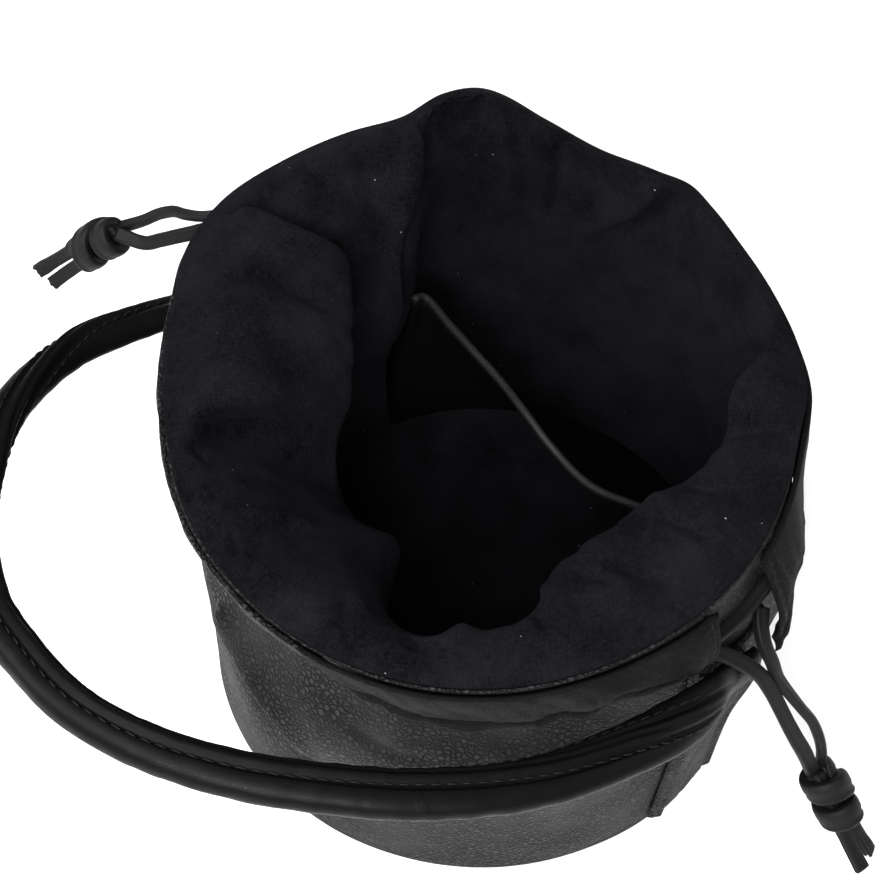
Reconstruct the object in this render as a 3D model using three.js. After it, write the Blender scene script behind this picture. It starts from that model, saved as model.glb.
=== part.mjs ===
// Drawstring handle pouch: a soft leather bucket bag with a fabric lining folded out over its rim,
// leather drawcord casings, a rolled leather handle dropped to the front, an inner slip pocket and
// two knotted lace ends. Millimetres, +Z up, origin at the centre of the underside.
import * as THREE from 'three';

// Driving dimensions
const BASE_RADIUS = 85;          // radius of the round base
const RIM_HEIGHT = 150;          // height that the slumped wall's rim varies about
const LEATHER = 2;               // thickness of the leather wall
const LINING = 1.2;              // thickness of the fabric lining
const BASE_THICKNESS = 3;        // thickness of the base panel
const FOOT_TUCK = 3.5;           // how far the wall's lower edge turns in under the bag
const SEAM_GAP = 0.3;            // clearance between pieces that touch
const WALL_GAP = 0.5;            // clearance under a piece that follows the folded wall
const STRIP_WIDTH = 30;          // width of the vertical side strips
const STRIP_THICKNESS = 1.6;     // thickness of a side strip
const STRIP_WELT = 1.0;          // height of the raised edges of a side strip
const STRIP_FOOT = 6;            // height of a side strip's lower edge
const STRIP_TOP = 103;           // height of a side strip's upper edge
const CASING_HEIGHT = 29;        // height of the drawcord casings under the rim
const CASING_THICKNESS = 1.4;    // thickness of the casing leather
const CASING_TUNNEL = 3.4;       // depth of the drawcord tunnel at mid casing
const POCKET_THICKNESS = 1.5;    // thickness of the slip pocket's panel
const BINDING_RADIUS = 1.7;      // radius of the bound edge along the pocket's mouth
const HANDLE_HALF = 100;         // half the distance between the handle's two sides
const HANDLE_REACH = 143;        // how far the dropped handle reaches from the bag's axis
const HANDLE_WIDTH = 10.4;       // width of the rolled handle at its middle
const HANDLE_THICKNESS = 9.2;    // thickness of the rolled handle at its middle
const HANDLE_FLANGE = 2.4;       // height of the stitched flange along the handle
const LACE_RADIUS = 1.3;         // radius of a drawcord lace
const KNOT_LENGTH = 20;          // length of a stopper knot
const KNOT_RADIUS = 6.8;         // radius of a stopper knot

// Places around the bag, in degrees from +X, counter-clockwise from above
const RIGHT_STRIP_AT = -43;
const LEFT_STRIP_AT = 132;
const RIGHT_GAP = { from: -51, to: -39.5 };   // gap between the casings' ends, at the right front
const LEFT_GAP = { from: 126, to: 139 };      // the same gap, at the left back
const HANDLE_AXIS_AT = -47.6;                 // direction from one handle end to the other
const HANDLE_TILT = 13.5;                     // how far the dropped handle stands above level
const HANDLE_HEIGHT = 99.4;                   // height at which the handle's plane meets the bag's axis

const AROUND = 60;               // facets around the bag
const DEGREE = Math.PI / 180;

// Leather wall up to its neck. Radii are shares of BASE_RADIUS, levels are shares of RIM_HEIGHT.
const WALL_LEVELS = { foot: 0.03, belly: 0.28, waist: 0.50, neck: 0.72 };
const WALL = [
  // angle  foot   belly  waist  neck
  [-170, 1.000, 0.980, 0.990, 0.952],
  [-150, 0.990, 0.965, 0.998, 0.926],
  [-130, 0.980, 0.965, 1.035, 0.938],
  [-108, 0.965, 0.985, 1.040, 0.966],
  [-88, 0.960, 1.000, 1.045, 0.966],
  [-68, 0.960, 1.008, 1.045, 0.972],
  [-52, 0.968, 1.005, 1.035, 1.022],
  [-38, 0.962, 0.994, 1.056, 1.044],
  [-28, 0.972, 1.004, 1.048, 1.030],
  [-18, 0.980, 1.026, 1.066, 1.012],
  [-6, 0.988, 1.046, 1.076, 0.982],
  [6, 0.996, 1.052, 1.075, 0.985],
  [18, 1.000, 1.050, 1.070, 0.995],
  [42, 1.000, 1.040, 1.050, 1.010],
  [66, 1.000, 1.030, 1.030, 0.985],
  [91, 1.000, 1.030, 1.030, 1.010],
  [118, 1.000, 1.020, 1.014, 1.000],
  [145, 1.000, 1.010, 1.010, 1.014],
  [168, 1.000, 1.000, 1.000, 0.985],
];

// Rim of the leather wall: radius as a share of BASE_RADIUS, height as a share of RIM_HEIGHT
const RIM = [
  // angle  radius height
  [-170, 1.024, 0.980],
  [-150, 1.065, 0.945],
  [-130, 1.080, 0.915],
  [-108, 1.090, 0.900],
  [-88, 1.075, 0.893],
  [-68, 1.055, 0.905],
  [-48, 1.040, 0.925],
  [-28, 1.002, 0.950],
  [-16, 0.984, 0.962],
  [-6, 0.988, 0.980],
  [6, 0.958, 0.987],
  [18, 0.940, 0.990],
  [30, 0.946, 0.988],
  [40, 0.974, 0.985],
  [47, 0.992, 0.988],
  [54, 0.960, 0.996],
  [66, 0.931, 1.010],
  [78, 0.957, 1.040],
  [90, 1.026, 1.069],
  [98, 1.018, 1.068],
  [107, 0.967, 1.053],
  [118, 0.983, 1.045],
  [132, 1.014, 1.035],
  [145, 1.052, 1.025],
  [157, 1.056, 1.012],
  [168, 1.022, 1.005],
];

// Folds of the slumped wall. Each runs straight from one place to another; heights are shares of
// RIM_HEIGHT, lift and spread are shares of BASE_RADIUS, and a negative lift is a dent.
const WALL_FOLDS = [
  // fromAngle fromHeight toAngle toHeight lift spread
  [-172, 0.60, -152, 0.50, 0.014, 0.080],
  [-152, 0.50, -128, 0.40, 0.020, 0.080],
  [-168, 0.45, -146, 0.30, -0.040, 0.095],
  [-146, 0.30, -128, 0.26, -0.026, 0.095],
  [-104, 0.57, -66, 0.54, 0.014, 0.070],
  [-33, 0.76, -24, 0.40, -0.030, 0.070],
  [-20, 0.80, -8, 0.44, 0.016, 0.080],
  [4, 0.74, 14, 0.36, -0.028, 0.090],
  [40, 0.90, 44, 0.40, 0.020, 0.080],
  [60, 0.86, 68, 0.42, -0.032, 0.140],
  [104, 0.84, 112, 0.46, -0.030, 0.130],
  [150, 0.80, 162, 0.40, -0.022, 0.100],
];

// Fabric lining inside the rim. lip and crest are measured inward from the rim as shares of
// BASE_RADIUS and up from it as shares of RIM_HEIGHT; throat is a radius and a height from the floor.
const LINING_ROWS = [
  // angle lipIn lipUp crestIn crestUp throatR throatZ wallR
  [-171, 0.26, 0.035, 0.52, -0.110, 0.52, 0.73, 0.78],
  [-163, 0.15, 0.006, 0.36, -0.120, 0.50, 0.64, 0.78],
  [-155, 0.13, 0.006, 0.33, -0.095, 0.49, 0.65, 0.78],
  [-142, 0.11, 0.020, 0.33, -0.060, 0.47, 0.65, 0.78],
  [-130, 0.11, 0.030, 0.31, -0.030, 0.45, 0.66, 0.78],
  [-119, 0.10, 0.034, 0.25, -0.006, 0.66, 0.70, 0.82],
  [-111, 0.08, 0.032, 0.16, 0.012, 0.82, 0.79, 0.86],
  [-92, 0.08, 0.034, 0.16, 0.028, 0.88, 0.81, 0.90],
  [-81, 0.12, 0.032, 0.24, 0.010, 0.83, 0.81, 0.91],
  [-75, 0.15, 0.034, 0.34, 0.008, 0.77, 0.82, 0.91],
  [-62, 0.18, 0.034, 0.38, 0.010, 0.74, 0.83, 0.91],
  [-45, 0.16, 0.032, 0.37, 0.002, 0.73, 0.83, 0.91],
  [-31, 0.13, 0.018, 0.29, -0.016, 0.75, 0.85, 0.92],
  [-20, 0.10, 0.010, 0.23, -0.024, 0.80, 0.86, 0.93],
  [-7, 0.09, 0.018, 0.21, -0.006, 0.80, 0.88, 0.94],
  [3, 0.07, 0.014, 0.13, -0.028, 0.86, 0.82, 0.94],
  [14, 0.06, 0.012, 0.10, -0.080, 0.88, 0.74, 0.94],
  [30, 0.06, 0.012, 0.09, -0.120, 0.89, 0.67, 0.94],
  [45, 0.06, 0.014, 0.09, -0.130, 0.90, 0.67, 0.94],
  [66, 0.06, 0.014, 0.07, -0.150, 0.88, 0.67, 0.94],
  [85, 0.07, 0.018, 0.11, -0.120, 0.90, 0.70, 0.94],
  [96, 0.07, 0.020, 0.11, -0.095, 0.91, 0.73, 0.94],
  [103, 0.08, 0.020, 0.14, -0.100, 0.88, 0.73, 0.93],
  [111, 0.11, 0.024, 0.27, -0.110, 0.68, 0.73, 0.89],
  [122, 0.13, 0.024, 0.28, -0.100, 0.60, 0.70, 0.85],
  [134, 0.14, 0.026, 0.36, -0.070, 0.58, 0.75, 0.82],
  [143, 0.22, 0.034, 0.44, -0.024, 0.58, 0.80, 0.82],
  [152, 0.25, 0.042, 0.56, -0.040, 0.58, 0.80, 0.82],
  [166, 0.25, 0.050, 0.58, -0.066, 0.56, 0.80, 0.82],
  [180, 0.26, 0.040, 0.57, -0.096, 0.53, 0.77, 0.80],
];
const LINING_WALL = 0.40;        // height of the lining's wall radius, share of RIM_HEIGHT
const LINING_HEM = { radius: 0.87, height: 0.13 };      // where the lining's wall meets its floor
const LINING_FLOOR = { radius: 0.77, height: 0.045 };   // where the lining's floor starts to rise

// Rolled handle, from its right end to its left end, in its own dropped plane. along is a share of
// HANDLE_HALF, out a share of HANDLE_REACH, wide and thick are shares of the middle's section, and
// turn is the section's twist in degrees.
const HANDLE_ROWS = [
  // along   out    wide  thick  turn
  [0.955, 0.060, 1.30, 0.62, 62],
  [0.955, 0.150, 1.33, 0.74, 34],
  [0.938, 0.250, 1.34, 0.84, 14],
  [0.862, 0.453, 1.32, 0.90, 4],
  [0.712, 0.641, 1.28, 0.95, 0],
  [0.518, 0.797, 1.18, 1.00, 0],
  [0.370, 0.888, 1.12, 1.00, 0],
  [0.195, 0.964, 1.05, 1.00, 0],
  [0.003, 1.010, 1.00, 1.00, 0],
  [-0.185, 1.015, 1.02, 1.00, 0],
  [-0.372, 0.998, 1.05, 1.00, 0],
  [-0.618, 0.908, 1.06, 1.00, 0],
  [-0.868, 0.741, 1.05, 1.00, 0],
  [-0.971, 0.603, 1.05, 0.98, 0],
  [-1.010, 0.480, 1.00, 0.95, 2],
  [-1.006, 0.374, 1.05, 0.90, 10],
  [-0.984, 0.250, 1.15, 0.82, 26],
  [-0.960, 0.132, 1.25, 0.72, 46],
  [-0.955, 0.040, 1.30, 0.62, 66],
];
const HANDLE_TAB = { thick: 0.54, wide: 1.35, height: 95, turn: 90 };   // flat end on its strip
const RIGHT_TAB_FROM = -46.5;    // angle where the right tab lies down on its strip
const RIGHT_TAB_TO = -40.5;      // angle of its end
const LEFT_TAB_FROM = 131.5;
const LEFT_TAB_TO = 125.5;

// Pocket mouth, its edge seen from above, from the left back to the right
const POCKET_LEFT_AT = 114;
const POCKET_RIGHT_AT = -18;
const POCKET_FOOT = 26;          // height of the pocket's lower seam
const POCKET_LEFT_HEIGHT = 116;
const POCKET_RIGHT_HEIGHT = 92;
const POCKET_MOUTH = [
  // x, y, z as shares of BASE_RADIUS, BASE_RADIUS and RIM_HEIGHT
  [-0.212, 0.589, 0.760],
  [-0.121, 0.480, 0.747],
  [-0.036, 0.381, 0.733],
  [0.049, 0.288, 0.713],
  [0.132, 0.171, 0.700],
  [0.215, 0.059, 0.680],
  [0.347, -0.072, 0.653],
  [0.514, -0.136, 0.633],
  [0.700, -0.215, 0.620],
];

// Stopper knots: where the laces enter, the place that the knot points at, and how far the pair of
// lace ends past it is turned about its axis, in degrees
const KNOTS = {
  right: { at: [92.0, -76.4, 62.0], to: [100.7, -85.2, 47.0], roll: 86 },
  left: { at: [-109.1, 74.0, 116.0], to: [-123.0, 75.6, 103.2], roll: 70 },
};
const KNOT_SEAT = 0.9;           // clearance between the laces' ends and their knot
const LACE_PAIR = 4.2;           // distance between two laces' middles where they enter the knot

// Lace routes from a casing to a knot, in rows of angle, radius and height; side is the lace's own
// side of its pair at the knot
const LACES = {
  lace_right_front: {
    knot: 'right', side: -1, route: [
      [-50.2, 89.5, 114.2], [-48.4, 92.4, 112.4], [-46.4, 96.6, 109.0], [-44.9, 100.2, 104.8],
      [-44.1, 103.8, 99.0], [-43.6, 107.2, 92.5], [-43.1, 110.4, 86.0], [-42.5, 113.4, 79.5],
      [-41.8, 116.2, 73.0],
    ],
  },
  lace_right_back: {
    knot: 'right', side: 1, route: [
      [-38.9, 91.4, 117.2], [-40.8, 93.6, 115.0], [-42.2, 97.0, 111.4], [-42.4, 100.6, 106.6],
      [-42.3, 103.2, 101.2], [-41.6, 106.8, 95.4], [-40.7, 110.8, 89.0], [-39.6, 114.2, 82.2],
      [-39.2, 117.0, 75.6], [-39.0, 118.8, 69.2],
    ],
  },
  lace_left_front: {
    knot: 'left', side: 1, route: [
      [141.0, 89.2, 133.0], [138.8, 89.5, 132.4], [137.6, 91.8, 131.0], [138.2, 97.4, 129.8],
      [140.2, 102.2, 127.4], [142.4, 107.6, 124.6], [143.9, 112.8, 121.8], [145.0, 117.8, 118.8],
      [145.9, 122.6, 116.2],
    ],
  },
  lace_left_back: {
    knot: 'left', side: -1, route: [
      [124.5, 86.4, 135.0], [127.5, 87.6, 135.8], [131.0, 90.6, 136.8], [135.2, 94.6, 135.6],
      [139.0, 99.6, 133.4], [141.2, 105.4, 131.2], [141.9, 111.4, 128.9], [142.1, 116.6, 127.0],
      [142.9, 121.2, 124.2], [144.0, 125.4, 120.8],
    ],
  },
};

// Runs of the two drawcords that cross the gaps from one casing into the other
const CORD_RUNS = {
  cord_run_right: [
    [-53.5, 89.6, 121.7], [-51.0, 89.4, 121.4], [-47.5, 89.4, 120.8], [-44.0, 89.4, 120.8],
    [-40.5, 89.5, 121.6], [-37.0, 89.6, 123.0], [-35.5, 89.6, 123.4],
  ],
  cord_run_left: [
    [143.0, 89.6, 140.0], [140.0, 89.5, 140.0], [136.0, 88.5, 140.0], [132.0, 87.4, 140.4],
    [128.0, 86.9, 140.8], [124.5, 86.7, 141.0], [122.5, 86.4, 141.0],
  ],
};
const TAIL_LENGTH = 14;          // length of the lace ends past their knot
const TAIL_WIDTH = 4.4;          // width of a lace end
const TAIL_SPREAD = 4.8;         // distance between the two ends' middles

// Cubic Hermite spline through rows whose first column is the place; period closes it on itself
function splineRows(rows, x, period = 0) {
  let table = rows;
  let at = x;
  if (period > 0) {
    const shift = (row, by) => [row[0] + by, ...row.slice(1)];
    const sorted = [...rows].sort((a, b) => a[0] - b[0]);
    table = [
      ...sorted.slice(-2).map((row) => shift(row, -period)),
      ...sorted,
      ...sorted.slice(0, 2).map((row) => shift(row, period)),
    ];
    const first = sorted[0][0];
    at = first + ((((x - first) % period) + period) % period);
  }
  let i = 0;
  while (i < table.length - 2 && table[i + 1][0] <= at) i += 1;
  const slope = (k, c) => {
    const a = table[Math.max(k - 1, 0)];
    const b = table[Math.min(k + 1, table.length - 1)];
    return (b[c] - a[c]) / (b[0] - a[0]);
  };
  const step = table[i + 1][0] - table[i][0];
  const t = (at - table[i][0]) / step;
  const values = [];
  for (let c = 1; c < table[i].length; c += 1) {
    const keep = (2 * t - 3) * t * t + 1;
    const next = (3 - 2 * t) * t * t;
    const leave = ((t - 2) * t + 1) * t * step;
    const arrive = (t - 1) * t * t * step;
    values.push(keep * table[i][c] + next * table[i + 1][c] + leave * slope(i, c) + arrive * slope(i + 1, c));
  }
  return values;
}

function polar(angle, radius, height) {
  return new THREE.Vector3(radius * Math.cos(angle * DEGREE), radius * Math.sin(angle * DEGREE), height);
}

// Radius and height of the wall's outer face: rim, and profile rows of height and radius below it
function wallAt(angle) {
  const [foot, belly, waist, neck] = splineRows(WALL, angle, 360);
  const [rim, rimHeight] = splineRows(RIM, angle, 360);
  const profile = [
    [WALL_LEVELS.foot * RIM_HEIGHT, foot * BASE_RADIUS],
    [WALL_LEVELS.belly * RIM_HEIGHT, belly * BASE_RADIUS],
    [WALL_LEVELS.waist * RIM_HEIGHT, waist * BASE_RADIUS],
    [WALL_LEVELS.neck * RIM_HEIGHT, neck * BASE_RADIUS],
    [rimHeight * RIM_HEIGHT, rim * BASE_RADIUS],
  ];
  return { foot: foot * BASE_RADIUS, rim: rim * BASE_RADIUS, top: rimHeight * RIM_HEIGHT, profile };
}

// How far the folds lift the wall at a place
function foldLift(angle, height) {
  let lift = 0;
  for (const [fromAngle, fromHeight, toAngle, toHeight, rise, spread] of WALL_FOLDS) {
    const arc = BASE_RADIUS * DEGREE;
    const turn = (a, b) => ((((a - b + 180) % 360) + 360) % 360) - 180;
    const run = new THREE.Vector2(turn(toAngle, fromAngle) * arc, (toHeight - fromHeight) * RIM_HEIGHT);
    const place = new THREE.Vector2(turn(angle, fromAngle) * arc, height - fromHeight * RIM_HEIGHT);
    const share = THREE.MathUtils.clamp(place.dot(run) / run.lengthSq(), 0, 1);
    const distance = place.distanceTo(run.multiplyScalar(share)) / (spread * BASE_RADIUS);
    lift += rise * BASE_RADIUS * Math.exp(-distance * distance);
  }
  return lift;
}

function wallRadius(angle, height) {
  const { top, profile } = wallAt(angle);
  const low = profile[0][0];
  const share = THREE.MathUtils.clamp((height - low) / (top - low), 0, 1);
  return splineRows(profile, height)[0] + foldLift(angle, height) * Math.sin(Math.PI * share);
}

// Closed solid from two matching grids of points, grid[row][column], whose rows run around the bag
// when closed is true; a pole joins the last row of each face to one point
function solidBetween(outer, inner, closed, poles = null) {
  const rows = outer.length;
  const columns = outer[0].length;
  const points = [...outer.flat(), ...inner.flat()];
  const faces = [];
  const id = (side, i, j) => side * rows * columns + i * columns + (j % columns);
  const quad = (a, b, c, d) => faces.push([a, b, c], [a, c, d]);
  const spans = closed ? columns : columns - 1;
  for (let i = 0; i < rows - 1; i += 1) {
    for (let j = 0; j < spans; j += 1) {
      quad(id(0, i, j), id(0, i, j + 1), id(0, i + 1, j + 1), id(0, i + 1, j));
      quad(id(1, i, j), id(1, i + 1, j), id(1, i + 1, j + 1), id(1, i, j + 1));
    }
  }
  for (let j = 0; j < spans; j += 1) {
    quad(id(0, 0, j), id(1, 0, j), id(1, 0, j + 1), id(0, 0, j + 1));
    if (poles === null) {
      quad(id(0, rows - 1, j), id(0, rows - 1, j + 1), id(1, rows - 1, j + 1), id(1, rows - 1, j));
    }
  }
  if (!closed) {
    for (let i = 0; i < rows - 1; i += 1) {
      quad(id(0, i, 0), id(0, i + 1, 0), id(1, i + 1, 0), id(1, i, 0));
      const last = columns - 1;
      quad(id(0, i, last), id(1, i, last), id(1, i + 1, last), id(0, i + 1, last));
    }
  }
  if (poles !== null) {
    points.push(...poles);
    for (let j = 0; j < spans; j += 1) {
      faces.push([id(0, rows - 1, j), id(0, rows - 1, j + 1), points.length - 2]);
      faces.push([id(1, rows - 1, j + 1), id(1, rows - 1, j), points.length - 1]);
    }
  }
  return geometryOf(points, faces);
}

// Indexed geometry, turned inside out where its volume comes out negative
function geometryOf(points, faces) {
  let volume = 0;
  for (const [a, b, c] of faces) {
    volume += points[a].dot(new THREE.Vector3().crossVectors(points[b], points[c])) / 6;
  }
  const geometry = new THREE.BufferGeometry();
  geometry.setAttribute('position', new THREE.Float32BufferAttribute(points.flatMap((p) => p.toArray()), 3));
  geometry.setIndex(faces.flatMap(([a, b, c]) => (volume > 0 ? [a, b, c] : [a, c, b])));
  geometry.computeVertexNormals();
  return geometry;
}

// Grid moved along its own normals by a distance
function offsetGrid(grid, distance, closed) {
  const rows = grid.length;
  const columns = grid[0].length;
  return grid.map((row, i) => row.map((point, j) => {
    const up = grid[Math.min(i + 1, rows - 1)][j];
    const down = grid[Math.max(i - 1, 0)][j];
    const after = closed ? row[(j + 1) % columns] : row[Math.min(j + 1, columns - 1)];
    const before = closed ? row[(j + columns - 1) % columns] : row[Math.max(j - 1, 0)];
    const normal = new THREE.Vector3().subVectors(after, before);
    normal.cross(new THREE.Vector3().subVectors(up, down)).normalize();
    return point.clone().addScaledVector(normal, distance);
  }));
}

function angles(from, to, steps) {
  return Array.from({ length: steps + 1 }, (_, i) => from + ((to - from) * i) / steps);
}

const AROUND_ANGLES = angles(-180, 180, AROUND).slice(0, AROUND);

// Base panel: a disc that follows the foot of the wall
function basePanel() {
  const edge = AROUND_ANGLES.map((angle) => {
    const radius = wallAt(angle).foot - FOOT_TUCK - LEATHER - SEAM_GAP;
    return new THREE.Vector2(radius * Math.cos(angle * DEGREE), radius * Math.sin(angle * DEGREE));
  });
  return new THREE.ExtrudeGeometry(new THREE.Shape(edge), { depth: BASE_THICKNESS, bevelEnabled: false });
}

// Leather wall, from the edge turned in under the bag up to the rim
const FOOT_ROLL = [
  // share of FOOT_TUCK inward, share of the foot's height
  [1.00, 0.00],
  [0.30, 0.24],
];
const WALL_ROWS = 12;
function bodyShell() {
  const column = (angle) => {
    const { foot, top, profile } = wallAt(angle);
    const footHeight = profile[0][0];
    const roll = FOOT_ROLL.map(([tuck, rise]) => [foot - tuck * FOOT_TUCK, rise * footHeight]);
    const heights = angles(footHeight, top, WALL_ROWS - 1);
    return [...roll, ...heights.map((height) => [wallRadius(angle, height), height])];
  };
  const columns = AROUND_ANGLES.map(column);
  const grid = (inward) => columns[0].map((_, i) => columns.map((rows, j) => {
    const [radius, height] = rows[i];
    return polar(AROUND_ANGLES[j], radius - inward, height);
  }));
  return solidBetween(grid(0), grid(LEATHER), true);
}

// Radius and height along the lining, from the rim to the floor
function liningProfile(angle) {
  const { rim, top } = wallAt(angle);
  const [lipIn, lipUp, crestIn, crestUp, throat, throatHeight, wall] = splineRows(LINING_ROWS, angle, 360);
  const seam = top + SEAM_GAP + LINING;
  return [
    [rim, seam],
    [rim - lipIn * BASE_RADIUS, seam + lipUp * RIM_HEIGHT],
    [rim - crestIn * BASE_RADIUS, seam + crestUp * RIM_HEIGHT],
    [throat * BASE_RADIUS, throatHeight * RIM_HEIGHT],
    [wall * BASE_RADIUS, LINING_WALL * RIM_HEIGHT],
    [LINING_HEM.radius * BASE_RADIUS, LINING_HEM.height * RIM_HEIGHT],
    [LINING_FLOOR.radius * BASE_RADIUS, LINING_FLOOR.height * RIM_HEIGHT],
  ];
}

const LINING_STEPS = [2, 3, 3, 2, 1, 1];      // facets between two rows of the lining's profile
function liningColumn(angle) {
  const knots = liningProfile(angle);
  let run = 0;
  const rows = knots.map(([radius, height], i) => {
    if (i > 0) run += Math.hypot(radius - knots[i - 1][0], height - knots[i - 1][1]);
    return [run, radius, height];
  });
  const places = rows.slice(1).flatMap((row, i) => angles(rows[i][0], row[0], LINING_STEPS[i]).slice(1));
  return [[knots[0][0], knots[0][1]], ...places.map((place) => splineRows(rows, place))];
}

const FLOOR_RING = 0.45;         // radius of the ring inside the lining's flat floor
const LINING_CUT = LINING_STEPS.slice(0, 4).reduce((sum, steps) => sum + steps);    // row of its cross seam
function liningGrids() {
  const floor = BASE_THICKNESS + SEAM_GAP + LINING;
  const columns = AROUND_ANGLES.map((angle) => [
    ...liningColumn(angle).map(([radius, height]) => polar(angle, radius, height)),
    polar(angle, FLOOR_RING * BASE_RADIUS, floor),
  ]);
  const face = columns[0].map((_, i) => columns.map((column) => column[i]));
  const back = offsetGrid(face, -LINING, true);
  // the cross seam's edges are level
  back[LINING_CUT].forEach((point, j) => point.setZ(face[LINING_CUT][j].z));
  return { floor, face, back };
}

// Upper lining, from the leather's edge over the lip and down to the cross seam
function lining() {
  const { face, back } = liningGrids();
  // the hem stands straight over the leather's edge
  back[0] = face[0].map((point) => point.clone().setZ(point.z - LINING));
  return solidBetween(face.slice(0, LINING_CUT + 1), back.slice(0, LINING_CUT + 1), true);
}

// Lower lining: a bowl under the cross seam, with a flat floor
function liningBase() {
  const { floor, face, back } = liningGrids();
  back[back.length - 1] = face[face.length - 1].map((point) => point.clone().setZ(point.z - LINING));
  for (const grid of [face, back]) grid[LINING_CUT].forEach((point) => point.setZ(point.z - SEAM_GAP));
  const poles = [new THREE.Vector3(0, 0, floor), new THREE.Vector3(0, 0, floor - LINING)];
  return solidBetween(face.slice(LINING_CUT), back.slice(LINING_CUT), true, poles);
}

// Radius of the lining's face at a height under its throat
function liningRadius(angle, height) {
  const column = liningColumn(angle);
  for (let i = column.length - 1; i > 0; i -= 1) {
    const [r0, z0] = column[i];
    const [r1, z1] = column[i - 1];
    if (z0 <= height && z1 >= height) return r0 + ((r1 - r0) * (height - z0)) / (z1 - z0);
  }
  return column[0][0];
}

// Sheet that lies on the wall's outer face; lift gives its inner face's distance from the wall
function sheetOnWall(angleList, heightsAt, lift, thickness) {
  const rows = heightsAt(angleList[0]).length;
  const face = (extra) => Array.from({ length: rows }, (_, i) => angleList.map((angle, j) => {
    const height = heightsAt(angle)[i];
    const v = i / (rows - 1);
    const u = j / (angleList.length - 1);
    return polar(angle, wallRadius(angle, height) + lift(u, v) + extra(u, v), height);
  }));
  return solidBetween(face(thickness), face(() => 0), false);
}

// Vertical strip that covers a side seam, with a raised welt along both edges
const STRIP_COLUMNS = [0, 0.08, 0.16, 0.5, 0.84, 0.92, 1];
const STRIP_CRESTS = [1 / 6, 5 / 6];          // columns that carry a welt, as shares of the columns
const STRIP_ROWS = 7;
function sideStrip(centre) {
  const half = STRIP_WIDTH / 2 / BASE_RADIUS / DEGREE;
  const list = STRIP_COLUMNS.map((share) => centre - half + 2 * half * share);
  const heights = angles(STRIP_FOOT, STRIP_TOP, STRIP_ROWS);
  const welt = (u) => (STRIP_CRESTS.some((crest) => Math.abs(u - crest) < 0.05) ? STRIP_WELT : 0);
  return sheetOnWall(list, () => heights, () => WALL_GAP, (u) => STRIP_THICKNESS + welt(u));
}

// Drawcord casing: a band under the rim that stands off the wall at its middle
const CASING_FACET = 4.5;        // degrees from one column of a casing to the next
const CASING_ROWS = 4;
const CASING_GATHERS = 24;       // gathers around the whole rim
const CASING_GATHER = 0.9;       // how far a gather stands out and in
const CASING_DROP = 2.5;         // how far its upper edge lies under the rim
// Casing's form round the rim: shares of its height and of its tunnel's depth, and how far its lower
// edge stands off, as a share of BASE_RADIUS
const CASING_FORM = [
  // angle tall full flare
  [-180, 0.50, 0.40, 0.000],
  [-140, 0.46, 0.35, 0.000],
  [-122, 0.80, 0.50, 0.005],
  [-104, 1.00, 0.80, 0.005],
  [-80, 1.00, 1.00, 0.005],
  [-52, 1.00, 1.00, 0.005],
  [-38, 1.18, 1.00, 0.092],
  [-28, 1.12, 0.50, 0.050],
  [-16, 1.04, 0.20, 0.014],
  [-4, 0.96, 0.18, 0.000],
  [30, 0.96, 0.35, 0.000],
  [60, 1.00, 0.70, 0.000],
  [124, 1.00, 1.00, 0.000],
  [140, 1.00, 1.00, 0.000],
  [158, 0.86, 0.60, 0.000],
];
function casing(from, to) {
  const list = angles(from, to, Math.round((to - from) / CASING_FACET));
  const heightsAt = (angle) => {
    const top = wallAt(angle).top - CASING_DROP;
    const [tall] = splineRows(CASING_FORM, angle, 360);
    return angles(top - CASING_HEIGHT * tall, top, CASING_ROWS);
  };
  const lift = (u, v) => {
    const angle = from + (to - from) * u;
    const [, full, flare] = splineRows(CASING_FORM, angle, 360);
    const gather = CASING_GATHER * Math.sin(CASING_GATHERS * angle * DEGREE);
    const tunnel = full * (CASING_TUNNEL + gather) * Math.sin(Math.PI * v);
    return WALL_GAP + tunnel + Math.max(flare, 0) * BASE_RADIUS * (1 - v);
  };
  return sheetOnWall(list, heightsAt, lift, () => CASING_THICKNESS);
}

// Slip pocket: its mouth gapes across the bag, and its other edges are sewn to the lining
const POCKET_COLUMNS = 12;
const POCKET_ROWS = 5;
const POCKET_EASE = 0.4;         // further clearance over the lining's coarse facets
const POCKET_SEAT = SEAM_GAP + POCKET_THICKNESS / 2 + POCKET_EASE;
function pocketMouth() {
  const seat = BINDING_RADIUS + 2 * SEAM_GAP;
  const end = (angle, height) => polar(angle, liningRadius(angle, height) - seat, height);
  const middle = POCKET_MOUTH.map(([x, y, z]) => (
    new THREE.Vector3(x * BASE_RADIUS, y * BASE_RADIUS, z * RIM_HEIGHT)
  ));
  const points = [
    end(POCKET_LEFT_AT, POCKET_LEFT_HEIGHT), ...middle, end(POCKET_RIGHT_AT, POCKET_RIGHT_HEIGHT),
  ];
  return new THREE.CatmullRomCurve3(points, false, 'centripetal');
}

function pocketPanel() {
  const mouth = pocketMouth();
  const drop = BINDING_RADIUS + 2 * SEAM_GAP;
  const grid = Array.from({ length: POCKET_ROWS + 1 }, (_, i) => angles(0, 1, POCKET_COLUMNS).map((u) => {
    const v = i / POCKET_ROWS;
    const angle = POCKET_LEFT_AT + (POCKET_RIGHT_AT - POCKET_LEFT_AT) * u;
    const top = mouth.getPointAt(u);
    const slope = mouth.getTangentAt(u).z;
    top.z -= drop / Math.sqrt(1 - slope * slope);
    const foot = polar(angle, liningRadius(angle, POCKET_FOOT) - POCKET_SEAT, POCKET_FOOT);
    const point = top.clone().lerp(foot, v);
    if (u > 0 && u < 1) return point;
    return polar(angle, liningRadius(angle, point.z) - POCKET_SEAT, point.z);
  }));
  const half = POCKET_THICKNESS / 2;
  return solidBetween(offsetGrid(grid, half, false), offsetGrid(grid, -half, false), false);
}

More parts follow.
